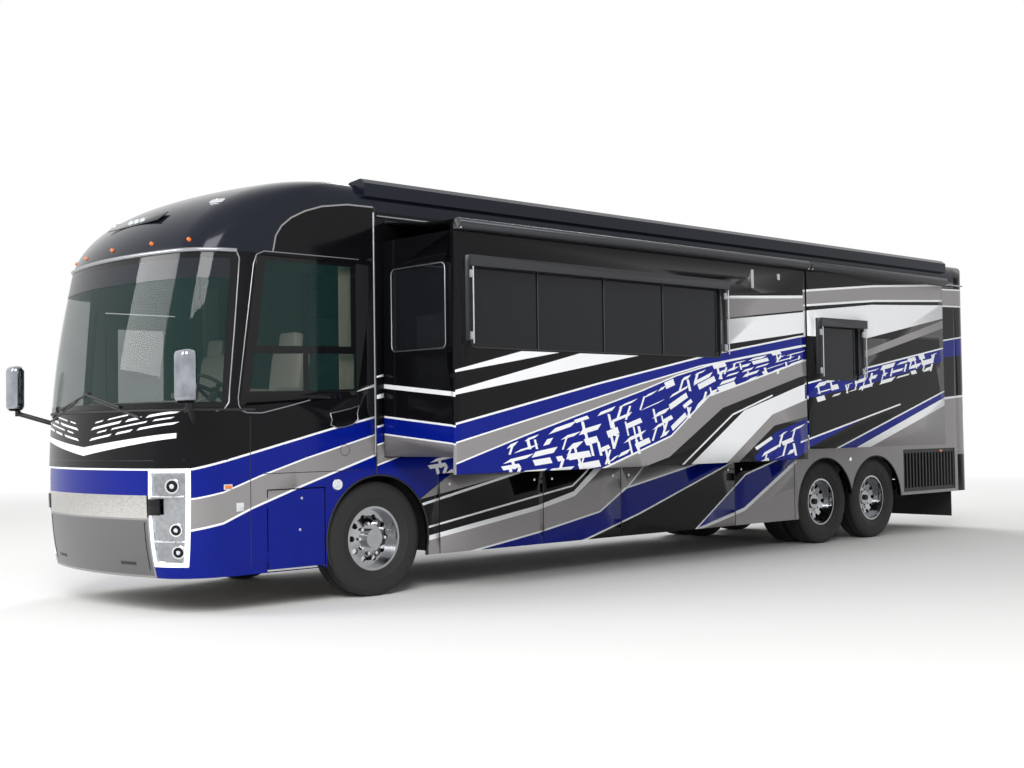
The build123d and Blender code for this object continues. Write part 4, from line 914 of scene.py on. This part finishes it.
def round_nose(turn, height, out=0.0):
    """Point on the nose seen from its middle, turned from straight ahead towards the driver's side."""
    facing = Vector((math.sin(turn), -math.cos(turn), 0.0))
    core = Vector((0.0, nose_y + 1.5, height))
    hit, normal, _, _ = skin_tree.ray_cast(core + facing * 4.0, -facing)
    return hit + normal * out, normal


def on_side(along, height, out=0.0, hand=1):
    """Point on the driver's side, or mirrored to the curb side."""
    hit, normal, _, _ = skin_tree.ray_cast(Vector((4.0, axle_y + along, height)), Vector((-1.0, 0.0, 0.0)))
    hit = hit + normal * out
    return Vector((hand * hit.x, hit.y, hit.z)), Vector((hand * normal.x, normal.y, normal.z))


def stud(shell, spot, radius, height, coat=0, segments=24, top=0.8, sink=0.003):
    """Bevelled round boss standing on a skin."""
    place, normal = spot
    turn = normal.to_track_quat("Z", "Y").to_matrix().to_4x4()
    matrix = Matrix.Translation(place + normal * (height / 2 - sink)) @ turn
    made = bmesh.ops.create_cone(
        shell, cap_ends=True, segments=segments, radius1=radius, radius2=radius * top, depth=height, matrix=matrix
    )
    fresh = {face for vert in made["verts"] for face in vert.link_faces}
    for face in fresh:
        face.material_index = coat
    return fresh


def plate(shell, spot, width, height, thick, coat=0, turn=0.0, round_by=0.3):
    """Bevelled flat plate standing on a skin."""
    place, normal = spot
    standing = set(shell.faces)
    turned_to = normal.to_track_quat("Z", "Y").to_matrix().to_4x4() @ Matrix.Rotation(turn, 4, "Z")
    made = bmesh.ops.create_cube(
        shell, size=1.0, matrix=Matrix.Translation(place) @ turned_to @ Matrix.Diagonal((width, height, thick, 1.0))
    )
    edges = {edge for vert in made["verts"] for edge in vert.link_edges}
    bmesh.ops.bevel(
        shell,
        geom=list(edges),
        offset=round_by * min(width, height, thick),
        segments=2,
        affect="EDGES",
        profile=0.5,
        material=-1,
    )
    for face in shell.faces:
        if face not in standing:
            face.material_index = coat


light_guide = surface("white_light_guide", (0.86, 0.89, 0.92), 0.25, coat=0.5, tone=0.03, grain=8.0)
light_guide.set(Emission_Color=(0.85, 0.93, 1.0, 1.0), Emission_Strength=0.35)
# Painted reflection: the bowl's chrome is coloured mid-dark and strongly mottled to stand in for dark reflections.
reflection_painted_bowl = surface("lamp_bowl_painted_reflection", (0.36, 0.37, 0.39), 0.16, metal=1.0, tone=0.4, grain=22.0)
lens = surface("lamp_glass", (0.62, 0.68, 0.72), 0.05, metal=0.4, coat=1.0, tone=0.15, grain=60.0)
amber = surface("amber_lens", (0.75, 0.16, 0.01), 0.18, coat=0.8, tone=0.15, grain=60.0)
red_lens = surface("red_lens", (0.42, 0.008, 0.006), 0.16, coat=0.9, tone=0.2, grain=80.0)
lamps = copied("headlamps")
lamp_low, lamp_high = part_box("headlamps")
guide = 0.036
for plane_co, plane_no in (
    ((0, 0, lamp_low[2] + guide), (0, 0, 1)),
    ((0, 0, lamp_high[2] - guide), (0, 0, 1)),
    ((0, lamp_high[1] - guide, 0), (0, 1, 0)),
):
    bmesh.ops.bisect_plane(
        lamps, geom=[*lamps.verts, *lamps.edges, *lamps.faces], dist=0.00001, plane_co=plane_co, plane_no=plane_no
    )
hollow = []
for face in lamps.faces:
    middle = face.calc_center_median()
    looks_out = face.normal.y < -0.05 or face.normal.x * middle.x > 0.3
    framed = (
        lamp_low[2] + guide < middle.z < lamp_high[2] - guide
        and middle.y < lamp_high[1] - guide
        and abs(middle.x) > 0.935
    )
    near_skin = abs(face.normal.z) < 0.5 and (on_nose(middle.x, middle.z)[0] - middle).length < 0.02
    if looks_out and framed and near_skin:
        hollow.append(face)
        face.material_index = 1
deep = bmesh.ops.extrude_face_region(lamps, geom=hollow)
moved_verts = [item for item in deep["geom"] if isinstance(item, bmesh.types.BMVert)]
for vert in moved_verts:
    vert.co += Vector((-0.012 if vert.co.x > 0 else 0.012, 0.028, 0.0))
bmesh.ops.delete(lamps, geom=[face for face in hollow if face.is_valid], context="FACES_ONLY")
for item in deep["geom"]:
    if isinstance(item, bmesh.types.BMFace):
        item.material_index = 1
for hand in (1, -1):
    for across, height, radius in ((1.135, 1.075, 0.052), (1.15, 0.715, 0.046), (1.15, 0.53, 0.046)):
        place, normal = on_nose(hand * across, height)
        stud(lamps, (place - normal * 0.034, normal), radius * 1.25, 0.024, coat=4, top=0.94)
        stud(lamps, (place - normal * 0.018, normal), radius, 0.014, coat=3, top=0.88)
        stud(lamps, (place - normal * 0.012, normal), radius * 0.55, 0.014, coat=2, top=0.5)
    for height in (0.62, 0.99):
        for across in (0.97, 1.04, 1.11, 1.18):
            place, normal = on_nose(hand * across, height)
            plate(lamps, (place - normal * 0.016, normal), 0.078, 0.012, 0.03, coat=4)
    place, normal = on_nose(hand * 0.99, 0.905)
    plate(lamps, (place - normal * 0.004, normal), 0.12, 0.135, 0.02, coat=3)
piece("corner_lamps", lamps, (light_guide, reflection_painted_bowl, lens, frit, chrome), "coach", "headlamps")

# Bright band and lower panel of the nose: a bare chromed moulding over a grey grille panel.
# The band is left plain. Two small slots stand at the foot of the panel.
panel_paint = surface("panel_paint", (0.115, 0.115, 0.12), 0.42, metal=0.35, coat=0.2, tone=0.06, grain=120.0)
band_chrome = surface("band_chrome", (0.55, 0.54, 0.52), 0.16, metal=1.0, tone=0.18, grain=30.0, relief=0.0015, relief_scale=38.0)
for node, made in (("nose_band", band_chrome), ("bumper_panel", panel_paint)):
    for slot_held in nodes[node].material_slots:
        slot_held.material = made.material
details = bmesh.new()
for across in (-0.62, 0.62):
    plate(details, on_nose(across, 0.43, -0.003), 0.20, 0.028, 0.01, coat=0)
for across in (-0.875, 0.875):
    for height in (0.42, 0.50, 0.58, 0.66, 0.74):
        plate(details, on_nose(across, height, 0.0), 0.007, 0.081, 0.006, coat=1)
piece("panel_slots", details, (soot, frit), "coach", smooth=False)

# Crown of the nose: a silver brow over the glass that runs down its rear edges, five
# clearance lamps, a recessed bar of three lamps and two small bright camera pods.
silver = surface("brow_silver", (0.34, 0.35, 0.37), 0.3, metal=0.9, tone=0.08, grain=30.0)
brow = [round_nose(math.radians(turn), 3.04, 0.002)[0] for turn in range(-78, 79, 3)]
brow = [spot for spot in brow if spot.y < axle_y - 1.46]
strip("brow_trim", brow, 0.019, silver, "coach")
for hand, side_name in ((1, "left"), (-1, "right")):
    edge_line = [
        on_side(-1.47, 3.03, 0.002, hand)[0],
        on_side(-1.445, 2.98, 0.002, hand)[0],
        on_side(-1.455, 2.85, 0.002, hand)[0],
        on_side(-1.50, 2.35, 0.002, hand)[0],
        on_side(-1.545, 1.90, 0.002, hand)[0],
        on_side(-1.555, 1.76, 0.002, hand)[0],
        on_side(-1.60, 1.705, 0.002, hand)[0],
        on_side(-1.68, 1.69, 0.002, hand)[0],
    ]
    strip(f"glass_edge_trim_{side_name}", edge_line, 0.007, silver, "coach")
cowl = [round_nose(math.radians(turn), 1.70, 0.0)[0] for turn in range(-66, 67, 3)]
strip("windshield_foot_seal", cowl, 0.012, rubber, "coach")
groove = [round_nose(math.radians(turn), 1.285, -0.005)[0] for turn in range(-57, 58, 3)]
strip("nose_crease", groove, 0.006, dark_coat, "coach")

crown = bmesh.new()
for across in (-1.05, -0.62, 0.0, 0.62, 1.05):
    stud(crown, on_nose(across, 3.13 if abs(across) > 0.1 else 3.135), 0.02, 0.022, coat=0, top=0.7)
plate(crown, on_nose(0.0, 3.41), 0.95, 0.13, 0.008, coat=1)
for step in (-1, 0, 1):
    stud(crown, on_nose(0.11 * step, 3.41, 0.004), 0.032, 0.02, coat=2, top=0.7)
for across in (0.95, -0.95):
    plate(crown, on_nose(across, 3.50), 0.15, 0.055, 0.03, coat=3)
    stud(crown, on_nose(across, 3.50, 0.014), 0.018, 0.012, coat=2, top=0.7)
piece("crown_lamps", crown, (amber, frit, lens, chrome), "coach")

# Mirrors: chromed shells on black arms that stand at the foot of the windshield posts.
# The glass looks to the rear.
mirror_glass = surface("mirror_glass", (0.8, 0.82, 0.84), 0.02, metal=1.0, tone=0.02)
# Painted reflection: the shell chrome is coloured dark with large light and dark blotches that stand in for
# reflections.
mirror_chrome_painted_reflection = surface("mirror_chrome_painted_reflection", (0.34, 0.36, 0.40), 0.1, metal=1.0, tone=0.55, grain=7.0)
arms = copied("mirrors")
heads = [face for face in arms.faces if abs(face.calc_center_median().x) > 1.5 and face.calc_center_median().z > 1.76]
bmesh.ops.delete(arms, geom=heads, context="FACES")
for face in arms.faces:
    face.material_index = 1
low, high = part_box("mirrors")
for hand in (1, -1):
    standing = set(arms.faces)
    size = Vector((0.208, 0.128, 0.428))
    centre = Vector((hand * (high[0] - 0.105), -6.415, 1.96))
    made = bmesh.ops.create_cube(
        arms, size=1.0, matrix=Matrix.Translation(centre) @ Matrix.Diagonal((*size, 1.0))
    )
    edges = {edge for vert in made["verts"] for edge in vert.link_edges}
    bmesh.ops.bevel(arms, geom=list(edges), offset=0.05, segments=5, affect="EDGES", profile=0.5, material=-1)
    for face in arms.faces:
        if face not in standing:
            face.material_index = 2 if face.normal.y > 0.95 else 0
piece("mirror_heads", arms, (mirror_chrome_painted_reflection, soot, mirror_glass), "coach", "mirrors")

# Tyres: radial truck tyres with four tread grooves, moulded rings on the sidewall and
# a bead that closes on the rim. The rims are forged aluminium with hand holes.
tread_rubber = surface("tyre_rubber", (0.013, 0.0125, 0.012), 0.72, tone=0.3, grain=9.0, relief=0.0012, relief_scale=160.0)
forged = surface("forged_aluminium", (0.40, 0.405, 0.42), 0.14, metal=1.0, tone=0.16, grain=16.0)
half_profile = (
    (0.112, 0.292),
    (0.124, 0.300),
    (0.137, 0.335),
    (0.1425, 0.366),
    (0.1455, 0.370),
    (0.1460, 0.378),
    (0.1445, 0.383),
    (0.1478, 0.405),
    (0.1475, 0.430),
    (0.1425, 0.458),
    (0.1435, 0.464),
    (0.1385, 0.478),
    (0.131, 0.496),
    (0.124, 0.512),
    (0.114, 0.519),
    (0.092, 0.5215),
    (0.089, 0.510),
    (0.077, 0.510),
    (0.074, 0.5225),
    (0.034, 0.5238),
    (0.031, 0.511),
    (0.019, 0.511),
    (0.016, 0.5245),
)
profile = list(half_profile) + [(-reach, radius) for reach, radius in reversed(half_profile)]
bolt_circle = 0.142
disc_offset = {"front": 0.062, "drive": -0.048, "tag": -0.048}
for row_name in disc_offset:
    for hand, side_name in ((1, "left"), (-1, "right")):
        low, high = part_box(f"tyre_{row_name}_{side_name}")
        centre = Vector((0.0, (low[1] + high[1]) / 2, (low[2] + high[2]) / 2))
        outer = max(abs(low[0]), abs(high[0])) - 0.148
        inner = min(abs(low[0]), abs(high[0])) + 0.148
        tyre = bmesh.new()
        for reach_out in sorted({round(outer, 4), round(inner, 4)}):
            middle = Vector((hand * reach_out, centre.y, centre.z))
            ring = [
                tyre.verts.new((middle.x + reach, middle.y, middle.z + radius)) for reach, radius in profile
            ]
            edges = [tyre.edges.new(pair) for pair in zip(ring, ring[1:] + ring[:1])]
            bmesh.ops.spin(
                tyre, geom=ring + edges, cent=middle, axis=(1, 0, 0), angle=math.tau, steps=72, use_merge=True
            )
        bmesh.ops.remove_doubles(tyre, verts=tyre.verts, dist=0.0002)
        bmesh.ops.recalc_face_normals(tyre, faces=tyre.faces)
        body = f"wheel_{row_name}_{side_name}"
        node = f"tyre_{row_name}_{side_name}"
        piece(f"road_{node}", tyre, (tread_rubber,), body, node)
        for slot_held in nodes[f"rim_{row_name}_{side_name}"].material_slots:
            slot_held.material = forged.material
        disc = outer + disc_offset[row_name]
        bolts = bmesh.new()
        for step in range(10):
            angle = math.tau * (step + 0.5) / 10
            across, rise = bolt_circle * math.sin(angle), bolt_circle * math.cos(angle)
            spot = Vector((hand * disc, centre.y + across, centre.z + rise))
            stud(bolts, (spot, Vector((hand, 0, 0))), 0.019, 0.034, segments=6, top=0.8, sink=0.002)
        stem = Vector((hand * (disc - 0.01), centre.y + 0.215, centre.z + 0.06))
        stud(bolts, (stem, Vector((hand, 0, 0))), 0.006, 0.03, coat=0, segments=8)
        piece(f"wheel_nuts_{row_name}_{side_name}", bolts, (chrome,), body)

# Side fittings: locks, a bright round lamp, markers, a filler outline and a bare shield
# on the driver's side of the nose. They are screwed or bonded to the skin.
fittings = bmesh.new()
stud(fittings, on_side(-0.457, 1.034), 0.055, 0.012, coat=0, top=0.85, segments=32)
stud(fittings, on_side(-0.457, 1.034), 0.035, 0.018, coat=1, top=0.7, segments=32)
plate(fittings, on_side(-1.455, 0.885), 0.075, 0.075, 0.014, coat=0)
plate(fittings, on_side(-1.569, 1.057), 0.085, 0.045, 0.012, coat=0)
plate(fittings, on_side(-1.569, 1.057, 0.004), 0.065, 0.03, 0.012, coat=2)
shield_line = (
    (-0.53, 1.665),
    (-0.45, 1.68),
    (-0.375, 1.695),
    (-0.30, 1.71),
    (-0.215, 1.735),
    (-0.235, 1.66),
    (-0.225, 1.61),
    (-0.29, 1.565),
    (-0.375, 1.545),
    (-0.46, 1.54),
    (-0.525, 1.565),
    (-0.51, 1.61),
)
shield_face = fittings.faces.new([fittings.verts.new(on_side(*point, 0.0035)[0]) for point in shield_line])
shield_face.normal_update()
if shield_face.normal.x < 0:
    shield_face.normal_flip()
shield_face.material_index = 3
strip(
    "shield_rim",
    [on_side(*point, 0.003)[0] for point in shield_line],
    0.0055,
    satin,
    "coach",
    closed=True,
)
stud(fittings, (Vector((side_x, axle_y + 7.634, 1.051)), Vector((1, 0, 0))), 0.032, 0.012, coat=0)
marker_z = 1.10
for along in (2.9, 6.3, 9.9):
    for hand in (1, -1):
        height = marker_z + (0.01 if hand == 1 and along > 6.5 else 0.0)
        spot = (Vector((hand * side_x, axle_y + along, height)), Vector((hand, 0, 0)))
        plate(fittings, spot, 0.07, 0.026, 0.012, coat=2)
piece("nose_side_fittings", fittings, (chrome, lens, amber, black_coat), "coach")
filler = [
    on_side(-0.373 + 0.05 * math.cos(math.radians(turn)), 1.338 + 0.05 * math.sin(math.radians(turn)), 0.0)[0]
    for turn in range(0, 360, 15)
]
strip("filler_outline", filler, 0.0022, rubber, "coach", closed=True)
strip("nose_seam", [on_side(-1.35, height)[0] for height in (0.36, 0.8, 1.2, 1.64)], 0.003, rubber, "coach")
strip("service_seam", [on_side(along, 1.155)[0] for along in (-1.21, -0.7, -0.2)], 0.003, rubber, "coach")

doors = [f"bay_door_{side_name}_{number}" for side_name in ("left", "right") for number in range(1, 5)]
for door in doors + ["service_door"]:
    low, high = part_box(door)
    hand = 1 if high[0] > 0 else -1
    locks = bmesh.new()
    if door == "service_door":
        spots = [(axle_y - 0.84, 0.932), (axle_y - 0.86, 0.661)]
    else:
        spots = [(low[1] + 0.12, 0.99), (high[1] - 0.12, 0.99)]
    for along, height in spots:
        stud(locks, (Vector((hand * side_x, along, height)), Vector((hand, 0, 0))), 0.013, 0.008, top=0.85)
        stud(locks, (Vector((hand * side_x, along, height)), Vector((hand, 0, 0))), 0.005, 0.01, coat=1, top=0.9)
    piece(f"locks_{door}", locks, (chrome, rubber), door)

# Slide-out trims: slim frames round the flush glass, bars between its panes, satin
# strips on the awning cassettes and end caps on the topper rollers.
def rounded(x, low, high, foot, head, corner=0.05):
    """Rounded outline on a side face."""
    points = []
    for centre_y, centre_z, start in (
        (high - corner, head - corner, 0),
        (low + corner, head - corner, 90),
        (low + corner, foot + corner, 180),
        (high - corner, foot + corner, 270),
    ):
        for turn in (0, 30, 60, 90):
            angle = math.radians(start + turn)
            points.append((x, centre_y + corner * math.cos(angle), centre_z + corner * math.sin(angle)))
    return points


bright_bar = surface("awning_silver", (0.46, 0.47, 0.49), 0.3, metal=0.8, tone=0.1, grain=30.0)
for room, pane, bars in (
    ("slide_front_left", (0.245, 3.715, 2.22, 2.95), (1.06, 1.94, 2.80)),
    ("slide_rear_left", (5.495, 6.30, 2.015, 2.64), ()),
    ("slide_right", (1.5, 3.3, 2.22, 2.86), (2.4,)),
):
    hand = -1 if room == "slide_right" else 1
    front, rear, foot, head = pane
    strip(
        f"frame_{room}",
        rounded(hand * (face_x + 0.001), axle_y + front, axle_y + rear, foot, head),
        0.007,
        soot,
        room,
        closed=True,
    )
    for number, along in enumerate(bars):
        bar_x = hand * (face_x + 0.001)
        strip(
            f"pane_bar_{room}_{number + 1}",
            [(bar_x, axle_y + along, foot), (bar_x, axle_y + along, head)],
            0.006,
            charcoal,
            room,
        )
    head_x = hand * (face_x + 0.088)
    for name, height, thick in (("upper", head + 0.060, 0.0125), ("lower", head - 0.016, 0.005)):
        strip(
            f"cassette_{name}_{room}",
            [
                (head_x - hand * thick, axle_y + front - 0.055, height),
                (head_x - hand * thick, axle_y + rear + 0.055, height),
            ],
            thick,
            bright_bar,
            room,
        )
    arm_x = hand * (face_x + 0.082)
    for name, along in (("front", front - 0.037), ("rear", rear + 0.037)):
        strip(
            f"arm_rod_{name}_{room}",
            [(arm_x, axle_y + along, foot + 0.03), (arm_x, axle_y + along, head - 0.03)],
            0.007,
            bright_bar,
            room,
        )
    box_low, box_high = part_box(room)
    roller_x = hand * (face_x + 0.048)
    caps = bmesh.new()
    for along in (box_low[1] + 0.02, box_high[1] - 0.02):
        plate(caps, (Vector((roller_x, along, 3.28)), Vector((0, -1, 0))), 0.07, 0.085, 0.018, coat=0)
    for along in (front - 0.03, rear + 0.03):
        for height in (foot + 0.10, head - 0.09):
            spot = (Vector((hand * (face_x + 0.046), axle_y + along, height)), Vector((hand, 0, 0)))
            plate(caps, spot, 0.04, 0.07, 0.02, coat=0)
    if room == "slide_front_left":
        for along, height, wide in ((4.273, 3.08, 0.20), (4.744, 3.13, 0.07)):
            spot = (Vector((face_x, axle_y + along, height)), Vector((1, 0, 0)))
            plate(caps, spot, wide, 0.045, 0.016, coat=0, turn=math.radians(90))
    piece(f"awning_caps_{room}", caps, (bright_bar,), room)



for room, side_name, hand in (("slide_front_left", "left", 1), ("slide_right", "right", -1)):
    end_wall = axle_y + (0.08 if hand == 1 else 0.90) - 0.002
    outline = [(point[1] * hand, end_wall, point[2]) for point in rounded(0.0, 1.40, 2.16, 2.22, 2.97)]
    strip(f"end_window_frame_{side_name}", outline, 0.006, silver, room, closed=True)

# Toppers: vinyl sheets from a rail on the wall to the roller on each slide-out's edge.
vinyl = surface("topper_vinyl", (0.045, 0.046, 0.05), 0.6, tone=0.15, grain=12.0, relief=0.0004, relief_scale=900.0)
for room, joint in (
    ("slide_front_left", "slide_front_left_travel"),
    ("slide_rear_left", "slide_rear_left_travel"),
    ("slide_right", "slide_right_travel"),
):
    low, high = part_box(room)
    hand = -1 if room == "slide_right" else 1
    start_x, end_x = side_x + 0.012, face_x + 0.048
    rail_z, roller_z, sag = 3.425, 3.337, 0.02
    fabric = bmesh.new()
    bmesh.ops.create_grid(fabric, x_segments=12, y_segments=24, size=0.5)
    for vert in fabric.verts:
        out, along = vert.co.x + 0.5, vert.co.y + 0.5
        vert.co = Vector(
            (
                hand * (start_x + (end_x - start_x) * out),
                low[1] + 0.05 + (high[1] - low[1] - 0.10) * along,
                rail_z + (roller_z - rail_z) * out - sag * math.sin(math.pi * out),
            )
        )
    bmesh.ops.recalc_face_normals(fabric, faces=fabric.faces)
    for face in fabric.faces:
        if face.normal.z < 0:
            face.normal_flip()
    topper = piece(f"topper_{room}", fabric, (vinyl,), "coach")
    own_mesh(topper)
    strip(
        f"topper_rail_{room}",
        [(hand * (side_x + 0.006), low[1] + 0.04, rail_z), (hand * (side_x + 0.006), high[1] - 0.04, rail_z)],
        0.012,
        charcoal,
        "coach",
    )

# Wheel-arch lips: rubber welting pressed on the edges of the wheel openings.
arches = (
    ("front", axle_y, 0.525, 0.577, -19, 199),
    ("drive", axle_y + 7.08, 0.48, 0.597, 13, 193),
    ("tag", axle_y + 7.08 + 1.165, 0.48, 0.597, 5, 167),
)
for arch_name, along, height, radius, start, end in arches:
    for hand, side_name in ((1, "left"), (-1, "right")):
        points = []
        for step in range(37):
            angle = math.radians(start + (end - start) * step / 36)
            points.append((hand * side_x, along + radius * math.cos(angle), height + radius * math.sin(angle)))
        strip(f"arch_lip_{arch_name}_{side_name}", points, 0.008, rubber, "coach")

# Cab seats: sewn leather over foam on steel pedestals, with folding armrests.
# Each cushion is a crowned pad of its own.
leather = surface("seat_leather", (0.62, 0.58, 0.49), 0.5, tone=0.08, grain=18.0, relief=0.0009, relief_scale=420.0)
cushions = (
    ("cushion", (0.0, -0.72, 1.655), (0.50, 0.48, 0.13), 0.0),
    ("back", (0.0, -0.535, 1.975), (0.49, 0.13, 0.60), -7.0),
    ("headrest", (0.0, -0.505, 2.335), (0.28, 0.10, 0.17), -7.0),
    ("arm_inner", (-0.275, -0.72, 1.88), (0.055, 0.30, 0.06), 0.0),
    ("arm_outer", (0.275, -0.72, 1.88), (0.055, 0.30, 0.06), 0.0),
)
for hand, side_name in ((1, "left"), (-1, "right")):
    for number, (pad_name, centre, size, lean) in enumerate(cushions):
        pad = bmesh.new()
        bmesh.ops.create_cube(pad, size=1.0, matrix=Matrix.Diagonal((*size, 1.0)))
        bmesh.ops.subdivide_edges(pad, edges=pad.edges, cuts=7, use_grid_fill=True)
        all_ways = {f"use_axis_{axis}": True for axis in "xyz"}
        for _ in range(4):
            bmesh.ops.smooth_vert(pad, verts=pad.verts, factor=0.5, **all_ways)
        for vert in pad.verts:
            if pad_name in ("cushion", "back"):
                for channel in (-0.125, 0.0, 0.125):
                    depth = 0.007 * max(0.0, 1.0 - abs(vert.co.x - channel) / 0.03)
                    if pad_name == "cushion" and vert.co.z > 0.02:
                        vert.co.z -= depth
                    elif pad_name == "back" and vert.co.y < -0.02:
                        vert.co.y += depth
        place = Vector((hand * 0.64 + centre[0], axle_y + centre[1], centre[2]))
        pad.transform(Matrix.Translation(place) @ Matrix.Rotation(math.radians(lean), 4, "X"))
        made = piece(f"seat_{pad_name}_{side_name}", pad, (leather,), "coach")
        rounding = made.modifiers.new("rounding", "SUBSURF")
        rounding.levels = 1
        rounding.render_levels = 1
        if hand == 1 and number == 0:
            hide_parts("seats")
    base = bmesh.new()
    for centre, size in (
        ((0.0, -0.72, 1.575), (0.40, 0.38, 0.05)),
        ((0.0, -0.72, 1.40), (0.22, 0.24, 0.31)),
        ((0.0, -0.72, 1.24), (0.38, 0.40, 0.02)),
        ((-0.275, -0.60, 1.78), (0.02, 0.05, 0.18)),
        ((0.275, -0.60, 1.78), (0.02, 0.05, 0.18)),
    ):
        place = Vector((hand * 0.64 + centre[0], axle_y + centre[1], centre[2]))
        plate(base, (place, Vector((0, 0, 1))), size[0], size[1], size[2], round_by=0.15)
    piece(f"seat_base_{side_name}", base, (soot,), "coach", smooth=False)

# Cab curtain: a gathered drape on a track behind the driver's window.
curtain_cloth = surface("curtain_cloth", (0.50, 0.45, 0.34), 0.85, tone=0.1, grain=40.0, relief=0.0006, relief_scale=700.0)
for hand, side_name in ((1, "left"), (-1, "right")):
    drape = bmesh.new()
    bmesh.ops.create_grid(drape, x_segments=60, y_segments=6, size=0.5)
    folds, depth, spread = 7, 0.018, 0.17
    for vert in drape.verts:
        across, rise = vert.co.x + 0.5, vert.co.y + 0.5
        vert.co = Vector(
            (
                hand * (1.19 + depth * math.sin(math.tau * folds * across)),
                axle_y - 0.36 + spread * across,
                1.76 + 1.24 * rise,
            )
        )
    made = piece(f"cab_curtain_{side_name}", drape, (curtain_cloth,), "coach")

# Tail of the coach: lamp clusters with bright bars between their units, clearance lamps,
# a camera pod, pull handles on the hatch and a bare plate holder.
tail_units = copied("tail_lamps")
for cut_z in (1.37, 1.63):
    bmesh.ops.bisect_plane(
        tail_units,
        geom=[*tail_units.verts, *tail_units.edges, *tail_units.faces],
        dist=0.00001,
        plane_co=(0, 0, cut_z),
        plane_no=(0, 0, 1),
    )
for face in tail_units.faces:
    height = face.calc_center_median().z
    face.material_index = 0 if height > 1.63 else (1 if height > 1.37 else 2)
piece("tail_lamp_units", tail_units, (red_lens, lens, red_lens), "coach", "tail_lamps")
rear_skin = bmesh.new()
for node in ("rear_cap", "tail_lamps", "rear_hatch"):
    rear_skin.from_mesh(nodes[node].data)
rear_tree = BVHTree.FromBMesh(rear_skin)
rear_skin.free()


def on_tail(across, height, out=0.0):
    """Point on the back of the coach and the way its skin faces there."""
    hit, normal, _, _ = rear_tree.ray_cast(Vector((across, 9.0, height)), Vector((0.0, -1.0, 0.0)))
    return hit + normal * out, normal


def seat_in_tail(shell):
    """Presses fittings back to the hindmost plane of the coach."""
    for vert in shell.verts:
        vert.co.y = min(vert.co.y, cad_box[1][1])


rear_details = bmesh.new()
for hand in (1, -1):
    for height in (1.37, 1.63):
        plate(rear_details, on_tail(hand * 1.10, height, -0.004), 0.17, 0.012, 0.012, coat=0)
    for height in (1.24, 1.50, 1.79):
        stud(rear_details, on_tail(hand * 1.10, height, -0.006), 0.062, 0.012, coat=2 if height != 1.50 else 3)
    plate(rear_details, on_tail(hand * 1.0, 3.42, -0.007), 0.09, 0.03, 0.02, coat=2)
for across in (-0.2, 0.0, 0.2):
    plate(rear_details, on_tail(across, 3.45, -0.007), 0.09, 0.03, 0.02, coat=2)
plate(rear_details, on_tail(0.0, 3.28, -0.0145), 0.14, 0.075, 0.035, coat=1)
stud(rear_details, on_tail(0.0, 3.28, 0.0), 0.02, 0.007, coat=3)
seat_in_tail(rear_details)
piece("tail_fittings", rear_details, (chrome, soot, red_lens, lens), "coach")
handles = bmesh.new()
for across in (-0.45, 0.45):
    plate(handles, on_tail(across, 0.80, -0.007), 0.17, 0.05, 0.018, coat=0)
    plate(handles, on_tail(across, 0.80, -0.004), 0.12, 0.022, 0.014, coat=1)
plate(handles, on_tail(0.0, 1.05, -0.001), 0.33, 0.17, 0.008, coat=1)
seat_in_tail(handles)
piece("hatch_handles", handles, (chrome, soot), "rear_hatch")
louvres = bmesh.new()
for step in range(9):
    plate(louvres, on_tail(0.0, 1.30 + 0.045 * step, -0.003), 1.2, 0.022, 0.014)
seat_in_tail(louvres)
piece("hatch_louvres", louvres, (soot,), "rear_hatch", smooth=False)

# Entry door: a flush pull in a dark cup.
pull = bmesh.new()
low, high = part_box("entry_door")
spot = Vector((-side_x - 0.001, high[1] - 0.10, 1.42))
plate(pull, (spot, Vector((-1, 0, 0))), 0.11, 0.20, 0.016, coat=0)
plate(pull, (spot + Vector((-0.008, 0, 0)), Vector((-1, 0, 0))), 0.03, 0.13, 0.014, coat=1)
piece("entry_pull", pull, (soot, chrome), "entry_door")
